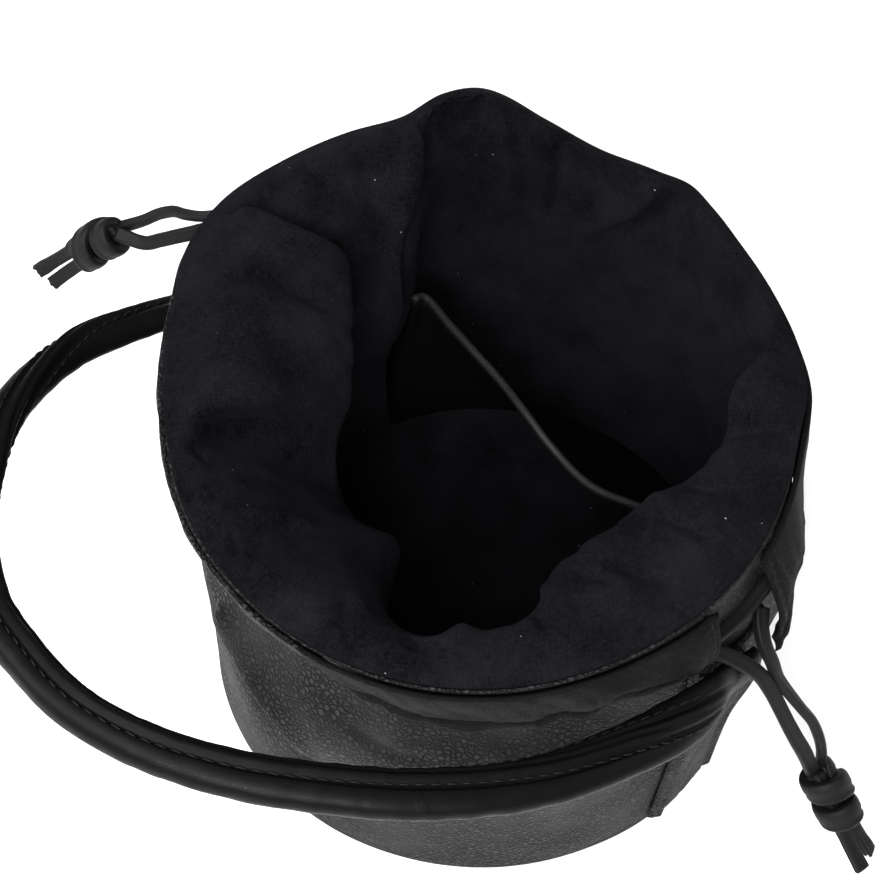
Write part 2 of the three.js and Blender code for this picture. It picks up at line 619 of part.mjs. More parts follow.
const ROUND_SIDES = 8;
function roundSection(radiusX, radiusY) {
  const corner = (i) => new THREE.Vector2(
    radiusX * Math.cos((2 * Math.PI * (i + 0.5)) / ROUND_SIDES),
    radiusY * Math.sin((2 * Math.PI * (i + 0.5)) / ROUND_SIDES),
  );
  return new THREE.Shape(Array.from({ length: ROUND_SIDES }, (_, i) => corner(i)));
}

function pocketBinding() {
  return new THREE.ExtrudeGeometry(roundSection(BINDING_RADIUS, BINDING_RADIUS), {
    steps: POCKET_COLUMNS + 4, extrudePath: pocketMouth(), bevelEnabled: false,
  });
}

// Handle: rows in its dropped plane between two flat tabs that lie on the side strips
function handleStations() {
  const along = polar(HANDLE_AXIS_AT, 1, 0);
  const tilt = HANDLE_TILT * DEGREE;
  const out = polar(HANDLE_AXIS_AT - 90, Math.cos(tilt), Math.sin(tilt));
  const centre = new THREE.Vector3(0, 0, HANDLE_HEIGHT);
  const arch = HANDLE_ROWS.map(([a, o, wide, thick, turn]) => ({
    point: centre.clone().addScaledVector(along, a * HANDLE_HALF).addScaledVector(out, o * HANDLE_REACH),
    wide: wide * HANDLE_WIDTH, thick: thick * HANDLE_THICKNESS, turn,
  }));
  const tabThick = HANDLE_TAB.thick * HANDLE_THICKNESS;
  const tab = (angle) => {
    const seat = WALL_GAP + STRIP_THICKNESS + SEAM_GAP + tabThick / 2;
    const radius = wallRadius(angle, HANDLE_TAB.height) + seat;
    const point = polar(angle, radius, HANDLE_TAB.height);
    return { point, wide: HANDLE_TAB.wide * HANDLE_WIDTH, thick: tabThick, turn: HANDLE_TAB.turn };
  };
  const normal = new THREE.Vector3().crossVectors(along, out);
  if (normal.z < 0) normal.negate();
  return {
    normal,
    stations: [tab(RIGHT_TAB_TO), tab(RIGHT_TAB_FROM), ...arch, tab(LEFT_TAB_FROM), tab(LEFT_TAB_TO)],
  };
}

// Section of the rolled handle: an oval with the flange's two edges standing on top
const HANDLE_SIDES = 12;
const HANDLE_STEPS = 30;
function handle() {
  const { normal, stations } = handleStations();
  const curve = new THREE.CatmullRomCurve3(stations.map((station) => station.point), false, 'centripetal');
  const last = stations.length - 1;
  const rows = stations.map((station, i) => [i / last, station.wide, station.thick, station.turn]);
  const rings = angles(0, 1, HANDLE_STEPS).map((t) => {
    const point = curve.getPoint(t);
    const tangent = curve.getTangent(t);
    const [wide, thick, turn] = splineRows(rows, t);
    const side = new THREE.Vector3().crossVectors(tangent, normal).normalize();
    const rise = new THREE.Vector3().crossVectors(side, tangent).normalize();
    const c = Math.cos(turn * DEGREE);
    const s = Math.sin(turn * DEGREE);
    const across = side.clone().multiplyScalar(c).addScaledVector(rise, s);
    const up = rise.clone().multiplyScalar(c).addScaledVector(side, -s);
    return Array.from({ length: HANDLE_SIDES }, (_, k) => {
      const phi = (2 * Math.PI * (k + 0.5)) / HANDLE_SIDES;
      const flange = Math.abs(Math.cos(phi)) < 0.3 && Math.sin(phi) > 0 ? HANDLE_FLANGE * c : 0;
      const x = (wide / 2) * Math.cos(phi);
      const y = (thick / 2) * Math.sin(phi) + flange;
      return point.clone().addScaledVector(across, x).addScaledVector(up, y);
    });
  });
  return loft(rings);
}

// Closed solid through rings of equal length, with a flat cap at both ends
function loft(rings) {
  const sides = rings[0].length;
  const points = rings.flat();
  const faces = [];
  for (let i = 0; i < rings.length - 1; i += 1) {
    for (let k = 0; k < sides; k += 1) {
      const a = i * sides + k;
      const b = i * sides + ((k + 1) % sides);
      faces.push([a, b, b + sides], [a, b + sides, a + sides]);
    }
  }
  const top = (rings.length - 1) * sides;
  for (let k = 1; k < sides - 1; k += 1) {
    faces.push([0, k + 1, k], [top, top + k, top + k + 1]);
  }
  return geometryOf(points, faces);
}

// Drawcord lace along its own route
const LACE_STEPS = 12;
const CORD_RUN_STEPS = 6;
function cord(points, steps) {
  const curve = new THREE.CatmullRomCurve3(points, false, 'centripetal');
  return new THREE.ExtrudeGeometry(roundSection(LACE_RADIUS, LACE_RADIUS), {
    steps, extrudePath: curve, bevelEnabled: false,
  });
}

function lace({ knot: name, side, route }) {
  const entry = new THREE.Vector3(...KNOTS[name].at);
  const { axis } = knotAxis(KNOTS[name]);
  const sideways = new THREE.Vector3(-entry.y, entry.x, 0).projectOnPlane(axis).normalize();
  const end = entry.addScaledVector(sideways, (side * LACE_PAIR) / 2);
  return cord([...route.map((row) => polar(...row)), end], LACE_STEPS);
}

// Stopper knot: two wraps of lace on one axis
const KNOT_PROFILE = [
  // share of KNOT_LENGTH, share of KNOT_RADIUS
  [0.00, 0.00], [0.00, 0.54], [0.14, 0.90], [0.28, 1.00], [0.42, 0.92], [0.50, 0.78],
  [0.58, 0.90], [0.72, 0.96], [0.88, 0.80], [1.00, 0.46], [1.00, 0.00],
];
const KNOT_SIDES = 10;
function knot() {
  const profile = KNOT_PROFILE.map(([s, r]) => new THREE.Vector2(r * KNOT_RADIUS, s * KNOT_LENGTH));
  return new THREE.LatheGeometry(profile, KNOT_SIDES);
}

function knotAxis({ at, to }) {
  const start = new THREE.Vector3(...at);
  const axis = new THREE.Vector3(...to).sub(start).normalize();
  return { start: start.addScaledVector(axis, KNOT_SEAT), axis };
}

// Lace end that hangs out of a knot
const TAIL_SEAT = 0.5;           // clearance between a knot and the middle of a lace end
function tail() {
  return new THREE.ExtrudeGeometry(roundSection(TAIL_WIDTH / 2, LACE_RADIUS), {
    steps: 1, depth: TAIL_LENGTH, bevelEnabled: false,
  });
}

// Materials
const black = (color, roughness) => () => new THREE.MeshStandardMaterial({ color, roughness, metalness: 0 });
const leather = black(0x1c1b1d, 0.55);
const smoothLeather = black(0x201d1d, 0.4);
const fabric = black(0x14151b, 0.95);
const laceLeather = black(0x1d1e21, 0.5);

const pouch = new THREE.Group();
function add(name, geometry, material, parent = pouch) {
  const mesh = new THREE.Mesh(geometry, material());
  mesh.name = name;
  parent.add(mesh);
  return mesh;
}

add('base_panel', basePanel(), leather);
add('body_shell', bodyShell(), leather);
add('side_strip_right', sideStrip(RIGHT_STRIP_AT), leather);
add('side_strip_left', sideStrip(LEFT_STRIP_AT), leather);
add('casing_front', casing(LEFT_GAP.to - 360, RIGHT_GAP.from), leather);
add('casing_back', casing(RIGHT_GAP.to, LEFT_GAP.from), leather);
add('lining', lining(), fabric);
add('lining_base', liningBase(), fabric);
add('pocket_panel', pocketPanel(), fabric);
add('pocket_binding', pocketBinding(), smoothLeather);
add('handle', handle(), smoothLeather);
for (const [name, part] of Object.entries(LACES)) add(name, lace(part), laceLeather);
for (const [name, route] of Object.entries(CORD_RUNS)) {
  add(name, cord(route.map((row) => polar(...row)), CORD_RUN_STEPS), laceLeather);
}
for (const [side, place] of Object.entries(KNOTS)) {
  const { start, axis } = knotAxis(place);
  const turned = new THREE.Group();
  turned.position.copy(start);
  turned.quaternion.setFromUnitVectors(new THREE.Vector3(0, 1, 0), axis);
  turned.rotateY(place.roll * DEGREE);
  pouch.add(turned);
  add(`knot_${side}`, knot(), laceLeather, turned);
  for (const [end, sign] of [['front', 1], ['back', -1]]) {
    const mesh = add(`tail_${side}_${end}`, tail(), laceLeather, turned);
    mesh.position.set((sign * TAIL_SPREAD) / 2, KNOT_LENGTH + TAIL_SEAT, 0);
    mesh.rotation.set(-Math.PI / 2, 0, 0);
  }
}

export default pouch;
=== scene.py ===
"""Black drawstring handle pouch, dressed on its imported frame: pebbled leather wall, lining folded out
over the rim, drawcord casings, slip pocket, rolled handle and knotted laces.

Tables and helpers work in millimetres and degrees, in the part's own frame, and make() turns them
into metres."""
import math
import bpy
import numpy as np
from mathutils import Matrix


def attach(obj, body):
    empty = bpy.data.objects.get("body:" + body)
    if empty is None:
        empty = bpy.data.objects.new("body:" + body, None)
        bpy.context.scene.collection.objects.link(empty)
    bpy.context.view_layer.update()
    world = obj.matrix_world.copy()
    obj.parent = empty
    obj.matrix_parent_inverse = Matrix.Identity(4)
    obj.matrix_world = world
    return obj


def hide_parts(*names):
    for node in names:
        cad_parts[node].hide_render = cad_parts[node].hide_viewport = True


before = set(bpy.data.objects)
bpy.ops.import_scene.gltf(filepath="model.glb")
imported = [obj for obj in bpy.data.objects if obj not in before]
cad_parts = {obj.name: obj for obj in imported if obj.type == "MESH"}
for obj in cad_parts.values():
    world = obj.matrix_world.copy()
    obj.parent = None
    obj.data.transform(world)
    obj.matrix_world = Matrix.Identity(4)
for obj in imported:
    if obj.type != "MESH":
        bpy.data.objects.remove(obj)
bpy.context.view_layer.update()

MM = 0.001

# Driving dimensions, as in the part's source
BASE_RADIUS = 85.0
RIM_HEIGHT = 150.0
LEATHER = 2.0
LINING = 1.2
BASE_THICKNESS = 3.0
FOOT_TUCK = 3.5
SEAM_GAP = 0.3
WALL_GAP = 0.5
STRIP_WIDTH = 30.0
STRIP_THICKNESS = 1.6
STRIP_WELT = 1.1
STRIP_FOOT = 6.0
STRIP_TOP = 103.0
CASING_HEIGHT = 29.0
CASING_THICKNESS = 1.4
CASING_TUNNEL = 3.4
CASING_DROP = 2.5
POCKET_THICKNESS = 1.5
BINDING_RADIUS = 1.7
HANDLE_HALF = 100.0
HANDLE_REACH = 143.0
HANDLE_WIDTH = 10.4
HANDLE_THICKNESS = 9.2
LACE_WIDTH = 4.4
LACE_THICKNESS = 3.0
RUN_THICKNESS = 2.2
KNOT_LENGTH = 20.0
KNOT_STRAP = (7.4, 3.4)
KNOT_CORE = (4.2, 5.0)
KNOT_CORE_APART = 3.8

RIGHT_STRIP_AT = -43.0
LEFT_STRIP_AT = 132.0
RIGHT_GAP = (-51.0, -39.5)
LEFT_GAP = (126.0, 139.0)
HANDLE_AXIS_AT = -47.6
HANDLE_TILT = 13.5
HANDLE_HEIGHT = 99.4

# Camera of the photograph: its place in millimetres, how far it looks down, and its lens
CAMERA_AT = (-12.4, -322.8, 571.2)
CAMERA_DOWN = 55.0
CAMERA_LENS = 81.26
SENSOR = 36.0

# Leather wall up to its neck: radii are shares of BASE_RADIUS, levels are shares of RIM_HEIGHT
WALL_LEVELS = (0.03, 0.28, 0.50, 0.72)
WALL = [
    # angle, foot, belly, waist, neck
    [-170, 1.000, 0.980, 0.990, 0.952],
    [-150, 0.990, 0.965, 0.998, 0.926],
    [-130, 0.980, 0.965, 1.035, 0.938],
    [-108, 0.965, 0.985, 1.040, 0.966],
    [-88, 0.960, 1.000, 1.045, 0.966],
    [-68, 0.960, 1.008, 1.045, 0.972],
    [-52, 0.968, 1.005, 1.035, 1.022],
    [-38, 0.962, 0.994, 1.056, 1.044],
    [-28, 0.972, 1.004, 1.048, 1.030],
    [-18, 0.980, 1.026, 1.066, 1.012],
    [-6, 0.988, 1.046, 1.076, 0.982],
    [6, 0.996, 1.052, 1.075, 0.985],
    [18, 1.000, 1.050, 1.070, 0.995],
    [42, 1.000, 1.040, 1.050, 1.010],
    [66, 1.000, 1.030, 1.030, 0.985],
    [91, 1.000, 1.030, 1.030, 1.010],
    [118, 1.000, 1.020, 1.014, 1.000],
    [145, 1.000, 1.010, 1.010, 1.014],
    [168, 1.000, 1.000, 1.000, 0.985],
]
# Rim of the leather wall: radius as a share of BASE_RADIUS, height as a share of RIM_HEIGHT
RIM = [
    # angle, radius, height
    [-170, 1.024, 0.980],
    [-150, 1.065, 0.945],
    [-130, 1.080, 0.915],
    [-108, 1.090, 0.900],
    [-88, 1.075, 0.893],
    [-68, 1.055, 0.905],
    [-48, 1.040, 0.925],
    [-28, 1.002, 0.950],
    [-16, 0.984, 0.962],
    [-6, 0.988, 0.980],
    [6, 0.958, 0.987],
    [18, 0.940, 0.990],
    [30, 0.946, 0.988],
    [40, 0.974, 0.985],
    [47, 0.992, 0.988],
    [54, 0.960, 0.996],
    [66, 0.931, 1.010],
    [78, 0.957, 1.040],
    [90, 1.026, 1.069],
    [98, 1.018, 1.068],
    [107, 0.967, 1.053],
    [118, 0.983, 1.045],
    [132, 1.014, 1.035],
    [145, 1.052, 1.025],
    [157, 1.056, 1.012],
    [168, 1.022, 1.005],
]
# Folds from one place to another: heights are shares of RIM_HEIGHT, lift and spread of BASE_RADIUS
WALL_FOLDS = [
    # from angle, from height, to angle, to height, lift, spread
    [-172, 0.60, -152, 0.50, 0.014, 0.080],
    [-152, 0.50, -128, 0.40, 0.020, 0.080],
    [-168, 0.45, -146, 0.30, -0.040, 0.095],
    [-146, 0.30, -128, 0.26, -0.026, 0.095],
    [-104, 0.57, -66, 0.54, 0.014, 0.070],
    [-33, 0.76, -24, 0.40, -0.030, 0.070],
    [-20, 0.80, -8, 0.44, 0.016, 0.080],
    [4, 0.74, 14, 0.36, -0.028, 0.090],
    [40, 0.90, 44, 0.40, 0.020, 0.080],
    [60, 0.86, 68, 0.42, -0.032, 0.140],
    [104, 0.84, 112, 0.46, -0.030, 0.130],
    [150, 0.80, 162, 0.40, -0.022, 0.100],
]

# Creases of the leather that are finer than the folds: lift in millimetres, its spread to the left and
# to the right of the line, and the line as angles and heights
WALL_CREASES = [
    (2.6, 5.5, 1.5, [(-153.5, 86), (-151.8, 82.5), (-145, 80.5), (-137.8, 76.9), (-132, 72.9),
                     (-127.2, 64.2), (-124, 52)]),
    (-3.0, 2.2, 6.0, [(-155, 80), (-149, 76), (-143, 73), (-137, 68.5), (-131.5, 61), (-127.5, 50)]),
    (-1.2, 3.0, 3.0, [(-118, 88), (-108, 84), (-97, 86)]),
    (1.2, 3.5, 2.5, [(-92, 90), (-82, 86), (-72, 88)]),
    (-1.0, 2.5, 3.0, [(-84, 78), (-74, 74), (-66, 77)]),
    (-1.3, 2.5, 4.0, [(-27, 96), (-23, 84), (-21, 68), (-22, 52)]),
    (1.2, 3.5, 2.0, [(-17, 100), (-12, 86), (-9, 70)]),
    (-1.4, 3.0, 4.5, [(-3, 112), (2, 96), (5, 76)]),
    (-1.5, 4.0, 4.0, [(26, 120), (29, 100), (34, 76)]),
    (1.4, 4.0, 3.0, [(48, 124), (51, 104), (50, 84)]),
    (-1.6, 4.5, 3.5, [(80, 132), (84, 112), (82, 88)]),
    (1.3, 4.0, 3.0, [(98, 130), (96, 108), (99, 84)]),
    (-1.4, 3.5, 4.0, [(-176, 112), (-173, 94), (-176, 72)]),
    (1.5, 3.0, 4.0, [(176, 116), (172, 96), (174, 74)]),
]

# Casing's form round the rim: shares of its height and of its tunnel's depth, and how far its lower
# edge stands off, as a share of BASE_RADIUS
CASING_FORM = [
    # angle, tall, full, flare
    [-180, 0.50, 0.40, 0.000],
    [-140, 0.46, 0.35, 0.000],
    [-122, 0.80, 0.50, 0.005],
    [-104, 1.00, 0.80, 0.005],
    [-80, 1.00, 1.00, 0.005],
    [-52, 1.00, 1.00, 0.005],
    [-38, 1.18, 1.00, 0.092],
    [-28, 1.12, 0.50, 0.050],
    [-16, 1.04, 0.20, 0.014],
    [-4, 0.96, 0.18, 0.000],
    [30, 0.96, 0.35, 0.000],
    [60, 1.00, 0.70, 0.000],
    [124, 1.00, 1.00, 0.000],
    [140, 1.00, 1.00, 0.000],
    [158, 0.86, 0.60, 0.000],
]

# Lining: lip and crest are measured inward from the rim and up from it, the throat from the floor
LINING_ROWS = [
    # angle, lip in, lip up, crest in, crest up, throat radius, throat height, wall radius
    [-171, 0.26, 0.035, 0.52, -0.110, 0.52, 0.73, 0.78],
    [-163, 0.15, 0.006, 0.36, -0.120, 0.50, 0.64, 0.78],
    [-155, 0.13, 0.006, 0.33, -0.095, 0.49, 0.65, 0.78],
    [-142, 0.11, 0.020, 0.33, -0.060, 0.47, 0.65, 0.78],
    [-130, 0.11, 0.030, 0.31, -0.030, 0.45, 0.66, 0.78],
    [-119, 0.10, 0.034, 0.25, -0.006, 0.66, 0.70, 0.82],
    [-111, 0.08, 0.032, 0.16, 0.012, 0.82, 0.79, 0.86],
    [-92, 0.08, 0.034, 0.16, 0.028, 0.88, 0.81, 0.90],
    [-81, 0.12, 0.032, 0.24, 0.010, 0.83, 0.81, 0.91],
    [-75, 0.15, 0.034, 0.34, 0.008, 0.77, 0.82, 0.91],
    [-62, 0.18, 0.034, 0.38, 0.010, 0.74, 0.83, 0.91],
    [-45, 0.16, 0.032, 0.37, 0.002, 0.73, 0.83, 0.91],
    [-31, 0.13, 0.018, 0.29, -0.016, 0.75, 0.85, 0.92],
    [-20, 0.10, 0.010, 0.23, -0.024, 0.80, 0.86, 0.93],
    [-7, 0.09, 0.018, 0.21, -0.006, 0.80, 0.88, 0.94],
    [3, 0.07, 0.014, 0.13, -0.028, 0.86, 0.82, 0.94],
    [14, 0.06, 0.012, 0.10, -0.080, 0.88, 0.74, 0.94],
    [30, 0.06, 0.012, 0.09, -0.120, 0.89, 0.67, 0.94],
    [45, 0.06, 0.014, 0.09, -0.130, 0.90, 0.67, 0.94],
    [66, 0.06, 0.014, 0.07, -0.150, 0.88, 0.67, 0.94],
    [85, 0.07, 0.018, 0.11, -0.120, 0.90, 0.70, 0.94],
    [96, 0.07, 0.020, 0.11, -0.095, 0.91, 0.73, 0.94],
    [103, 0.08, 0.020, 0.14, -0.100, 0.88, 0.73, 0.93],
    [111, 0.11, 0.024, 0.27, -0.110, 0.68, 0.73, 0.89],
    [122, 0.13, 0.024, 0.28, -0.100, 0.60, 0.70, 0.85],
    [134, 0.14, 0.026, 0.36, -0.070, 0.58, 0.75, 0.82],
    [143, 0.22, 0.034, 0.44, -0.024, 0.58, 0.80, 0.82],
    [152, 0.25, 0.042, 0.56, -0.040, 0.58, 0.80, 0.82],
    [166, 0.25, 0.050, 0.58, -0.066, 0.56, 0.80, 0.82],
    [180, 0.26, 0.040, 0.57, -0.096, 0.53, 0.77, 0.80],
]
# Fine folds of the lining: lift in millimetres, its spread to the left and to the right of the line,
# and the line as angles and places in the profile, 0 at the rim to 6 at the floor
LINING_FOLDS = [
    # dark crease under the left lobe's upper edge, and that edge itself
    (-5.6, 5.0, 1.5, [(144, 0.25), (143.5, 0.6), (143, 0.95), (140.8, 1.38), (137.4, 1.85),
                      (137.6, 2.25), (140, 2.6)]),
    (3.0, 1.3, 6.5, [(148, 0.3), (147.5, 0.6), (147.2, 1.0), (145.2, 1.4), (142.2, 1.85),
                     (142.2, 2.25), (145, 2.6)]),
    # hollow under the tip at the left
    (-4.4, 2.4, 2.6, [(149.5, 0.1), (146, 0.3), (143.5, 0.5)]),
    # ridge of the back panel's middle fold and the valley behind it
    (5.0, 1.5, 7.5, [(106, 0.85), (106.5, 1.15), (109, 1.5), (114.5, 2.0), (118.5, 2.35),
                     (122.5, 2.7), (126, 3.1)]),
    (-2.6, 7.0, 2.6, [(99, 0.9), (99.5, 1.05), (101.5, 1.4), (105, 1.75), (110.5, 2.1), (115, 2.4)]),
    (-3.0, 8.0, 6.0, [(92, 0.7), (93, 1.1), (97, 1.7)]),
    # wedge at the right back corner and the ridge beside it
    (-1.6, 3.5, 2.6, [(45.5, 1.0), (46.5, 1.2), (49, 1.45), (52.5, 1.7), (58, 2.0), (65, 2.4)]),
    (3.6, 3.4, 1.8, [(41, 0.9), (41.5, 1.4), (42.5, 1.9), (43.5, 2.4)]),
    (2.8, 1.8, 6.0, [(50.5, 0.9), (52, 1.3), (55.5, 1.65), (61, 2.0), (68, 2.4)]),
    (1.8, 4.0, 4.0, [(43, 3.1), (39, 3.5), (34, 3.9)]),
    # wedge at the right and the right lobe's inner edge
    (-3.4, 2.6, 3.0, [(2.4, 0.4), (2.2, 0.9), (4.5, 1.5), (8, 2.1), (18, 2.6)]),
    (3.2, 6.0, 1.4, [(0, 0.7), (-1.0, 1.35), (-5.5, 1.72), (-11, 1.82), (-16.5, 1.86)]),
    (-3.0, 1.8, 2.2, [(-19.5, 1.95), (-17, 1.4), (-16, 0.8), (-15.5, 0.3)]),
    # dark valley under the left lobe with its sharp upper edge, and the dimple before it
    (-6.5, 1.8, 6.5, [(-161, 0.3), (-162, 0.6), (-163.2, 1.0), (-164.6, 1.4), (-166.2, 1.75),
                      (-169, 2.1)]),
    (3.6, 5.0, 1.8, [(-165.6, 0.3), (-166.6, 0.7), (-167.8, 1.2), (-169.8, 1.6), (-172, 2.0)]),
    (-5.0, 3.6, 4.4, [(-141.5, 0.35), (-139.8, 0.6), (-138.2, 1.05), (-138.4, 1.5)]),
    (2.8, 2.8, 1.8, [(-143.5, 1.1), (-142.0, 1.4), (-139.5, 1.8), (-136.8, 2.2)]),
    (2.4, 3.0, 3.8, [(-152, 0.3), (-151, 0.9), (-150, 1.5)]),
    # creases of the front lip, its flap and its bump
    (-2.2, 1.3, 2.0, [(-72.5, 1.62), (-70, 1.48), (-67, 1.32), (-64.5, 1.15)]),
    (-2.2, 1.4, 2.4, [(-65.5, 1.55), (-61.5, 1.23), (-57, 0.8), (-54.5, 0.5)]),
    (-2.4, 1.7, 2.6, [(-47, 1.7), (-45, 1.2), (-44, 0.7)]),
    (-1.8, 1.4, 2.4, [(-36, 1.8), (-34, 1.3), (-31, 0.8)]),
    (1.8, 3.0, 1.6, [(-79.5, 2.05), (-77.5, 1.75), (-76.5, 1.35), (-77.5, 0.9)]),
    (-2.4, 2.2, 1.7, [(-82.5, 1.95), (-81, 1.6), (-80.5, 1.1)]),
    (3.0, 4.0, 4.0, [(-96.5, 1.2), (-95.5, 1.75), (-95, 2.2)]),
    (-2.2, 2.4, 2.4, [(-103.5, 1.0), (-103, 1.6), (-102.5, 2.1)]),
    (-3.0, 3.0, 2.6, [(-117, 0.6), (-116.5, 1.2), (-117, 1.8)]),
    # small creases of the back left panel
    (-1.8, 1.3, 1.8, [(138, 0.3), (137, 0.75), (135.8, 1.1)]),
    (-1.7, 1.3, 1.8, [(131.5, 0.6), (130, 1.07), (129, 1.35)]),
    (-1.8, 2.0, 2.6, [(121, 0.5), (120, 1.0), (119.5, 1.5)]),
    (-1.8, 2.6, 2.0, [(76, 0.5), (74, 1.2), (74, 1.9), (76, 2.6)]),
    (1.8, 2.6, 2.6, [(86, 1.2), (84, 1.9), (83, 2.6)]),
    (-1.8, 2.2, 3.0, [(28, 0.7), (26, 1.5), (27, 2.3), (30, 3.0)]),
    (-1.8, 2.6, 2.6, [(165, 0.5), (163, 1.0), (160, 1.5), (158, 2.0)]),
]
# How far the lining's hem lies inside the leather's edge, by angle, in millimetres
LINING_INSET = [
    [-175, 0.0], [-160, 0.5], [-140, 0.6], [-52, 0.6], [-40, 0.2], [-30, 0.0], [60, 0.0], [120, 0.0],
]
LINING_WALL = 0.40
LINING_HEM = (0.87, 0.13)
LINING_FLOOR = (0.77, 0.045)

# Handle in its dropped plane: shares of HANDLE_HALF, HANDLE_REACH and the middle's section
HANDLE_ROWS = [
    # along, out, wide, thick, turn
    [0.955, 0.060, 1.30, 0.62, 62],
    [0.955, 0.150, 1.33, 0.74, 34],
    [0.938, 0.250, 1.34, 0.84, 14],
    [0.862, 0.453, 1.32, 0.90, 4],
    [0.712, 0.641, 1.28, 0.95, 0],
    [0.518, 0.797, 1.18, 1.00, 0],
    [0.370, 0.888, 1.12, 1.00, 0],
    [0.195, 0.964, 1.05, 1.00, 0],
    [0.003, 1.010, 1.00, 1.00, 0],
    [-0.185, 1.015, 1.02, 1.00, 0],
    [-0.372, 0.998, 1.05, 1.00, 0],
    [-0.618, 0.908, 1.06, 1.00, 0],
    [-0.868, 0.741, 1.05, 1.00, 0],
    [-0.971, 0.603, 1.05, 0.98, 0],
    [-1.010, 0.480, 1.00, 0.95, 2],
    [-1.006, 0.374, 1.05, 0.90, 10],
    [-0.984, 0.250, 1.15, 0.82, 26],
    [-0.960, 0.132, 1.25, 0.72, 46],
    [-0.955, 0.040, 1.30, 0.62, 66],
]
HANDLE_TAB = {"thick": 0.54, "wide": 1.35, "height": 95.0, "turn": 90.0}
RIGHT_TAB = (-40.5, -46.5)
LEFT_TAB = (131.5, 125.5)

# Pocket's mouth, from the left back to the right, as shares of BASE_RADIUS and RIM_HEIGHT
POCKET_LEFT = (114.0, 116.0)
POCKET_RIGHT = (-18.0, 92.0)
POCKET_FOOT = 26.0
POCKET_MOUTH = [
    [-0.212, 0.589, 0.760],
    [-0.121, 0.480, 0.747],
    [-0.036, 0.381, 0.733],
    [0.049, 0.288, 0.713],
    [0.132, 0.171, 0.700],
    [0.215, 0.059, 0.680],
    [0.347, -0.072, 0.653],
    [0.514, -0.136, 0.633],
    [0.700, -0.215, 0.620],
]

# Knots: where the laces enter, the place that the knot points at, and the turn of the pair of ends
KNOTS = {
    "right": ((92.0, -76.4, 62.0), (100.7, -85.2, 47.0), 86.0),
    "left": ((-109.1, 74.0, 116.0), (-123.0, 75.6, 103.2), 70.0),
}
KNOT_SEAT = 0.9
LACE_PAIR = 4.2
TAIL_LENGTH = 14.0
TAIL_SPREAD = 4.8
TAIL_SEAT = 0.5
TAIL_TUCK = 2.4
TAIL_THICKNESS = 2.7
# how far the two ends past each knot bend, towards the knot's face and towards their side
TAIL_BENDS = {"right": (0.8, 1.2), "left": (-2.0, 0.6)}

# Lace routes from a casing to a knot, in rows of angle, radius and height, as in the part's source;
# side is the lace's own side of its pair, and turns are its face's roll from the view, along the route
LACES = {
    "lace_right_front": {
        "knot": "right", "side": -1, "turns": (20, 10, 0, 10, 30), "route": [
            [-50.2, 89.5, 114.2], [-48.4, 92.4, 112.4], [-46.4, 96.6, 109.0],
            [-44.9, 100.2, 104.8], [-44.1, 103.8, 99.0], [-43.6, 107.2, 92.5],
            [-43.1, 110.4, 86.0], [-42.5, 113.4, 79.5], [-41.8, 116.2, 73.0],
        ],
    },
    "lace_right_back": {
        "knot": "right", "side": 1, "turns": (30, 60, 80, 95, 100), "route": [
            [-38.9, 91.4, 117.2], [-40.8, 93.6, 115.0], [-42.2, 97.0, 111.4],
            [-42.4, 100.6, 106.6], [-42.3, 103.2, 101.2], [-41.6, 106.8, 95.4],
            [-40.7, 110.8, 89.0], [-39.6, 114.2, 82.2], [-39.2, 117.0, 75.6],
            [-39.0, 118.8, 69.2],
        ],
    },
    "lace_left_front": {
        "knot": "left", "side": 1, "turns": (10, 20, 20, 10, 0), "route": [
            [141.0, 89.2, 133.0], [138.8, 89.5, 132.4], [137.6, 91.8, 131.0],
            [138.2, 97.4, 129.8], [140.2, 102.2, 127.4], [142.4, 107.6, 124.6],
            [143.9, 112.8, 121.8], [145.0, 117.8, 118.8], [145.9, 122.6, 116.2],
        ],
    },
    "lace_left_back": {
        "knot": "left", "side": -1, "turns": (60, 75, 75, 70, 60), "route": [
            [124.5, 86.4, 135.0], [127.5, 87.6, 135.8], [131.0, 90.6, 136.8],
            [135.2, 94.6, 135.6], [139.0, 99.6, 133.4], [141.2, 105.4, 131.2],
            [141.9, 111.4, 128.9], [142.1, 116.6, 127.0], [142.9, 121.2, 124.2],
            [144.0, 125.4, 120.8],
        ],
    },
}
CORD_RUNS = {
    "cord_run_right": [
        [-53.5, 89.6, 121.7], [-51.0, 89.4, 121.4], [-47.5, 89.4, 120.8], [-44.0, 89.4, 120.8],
        [-40.5, 89.5, 121.6], [-37.0, 89.6, 123.0], [-35.5, 89.6, 123.4],
    ],
    "cord_run_left": [
        [143.0, 89.6, 140.0], [140.0, 89.5, 140.0], [136.0, 88.5, 140.0], [132.0, 87.4, 140.4],
        [128.0, 86.9, 140.8], [124.5, 86.7, 141.0], [122.5, 86.4, 141.0],
    ],
}


# Helpers for tables and surfaces

def spline(rows, places, period=0.0):
    """Cubic Hermite through rows whose first column is the place; period closes it on itself."""
    table = np.array(rows, float)
    at = np.asarray(places, float)
    if period:
        table = table[np.argsort(table[:, 0])]
        shift = np.zeros(table.shape[1])
        shift[0] = period
        at = table[0, 0] + np.mod(at - table[0, 0], period)
        table = np.vstack([table[-2:] - shift, table, table[:2] + shift])
    shape = at.shape + (len(table),)
    places = np.broadcast_to(table[:, 0], shape)
    columns = [
        column_spline(places, np.broadcast_to(table[:, c], shape), at)
        for c in range(1, table.shape[1])
    ]
    return np.stack(columns, -1)


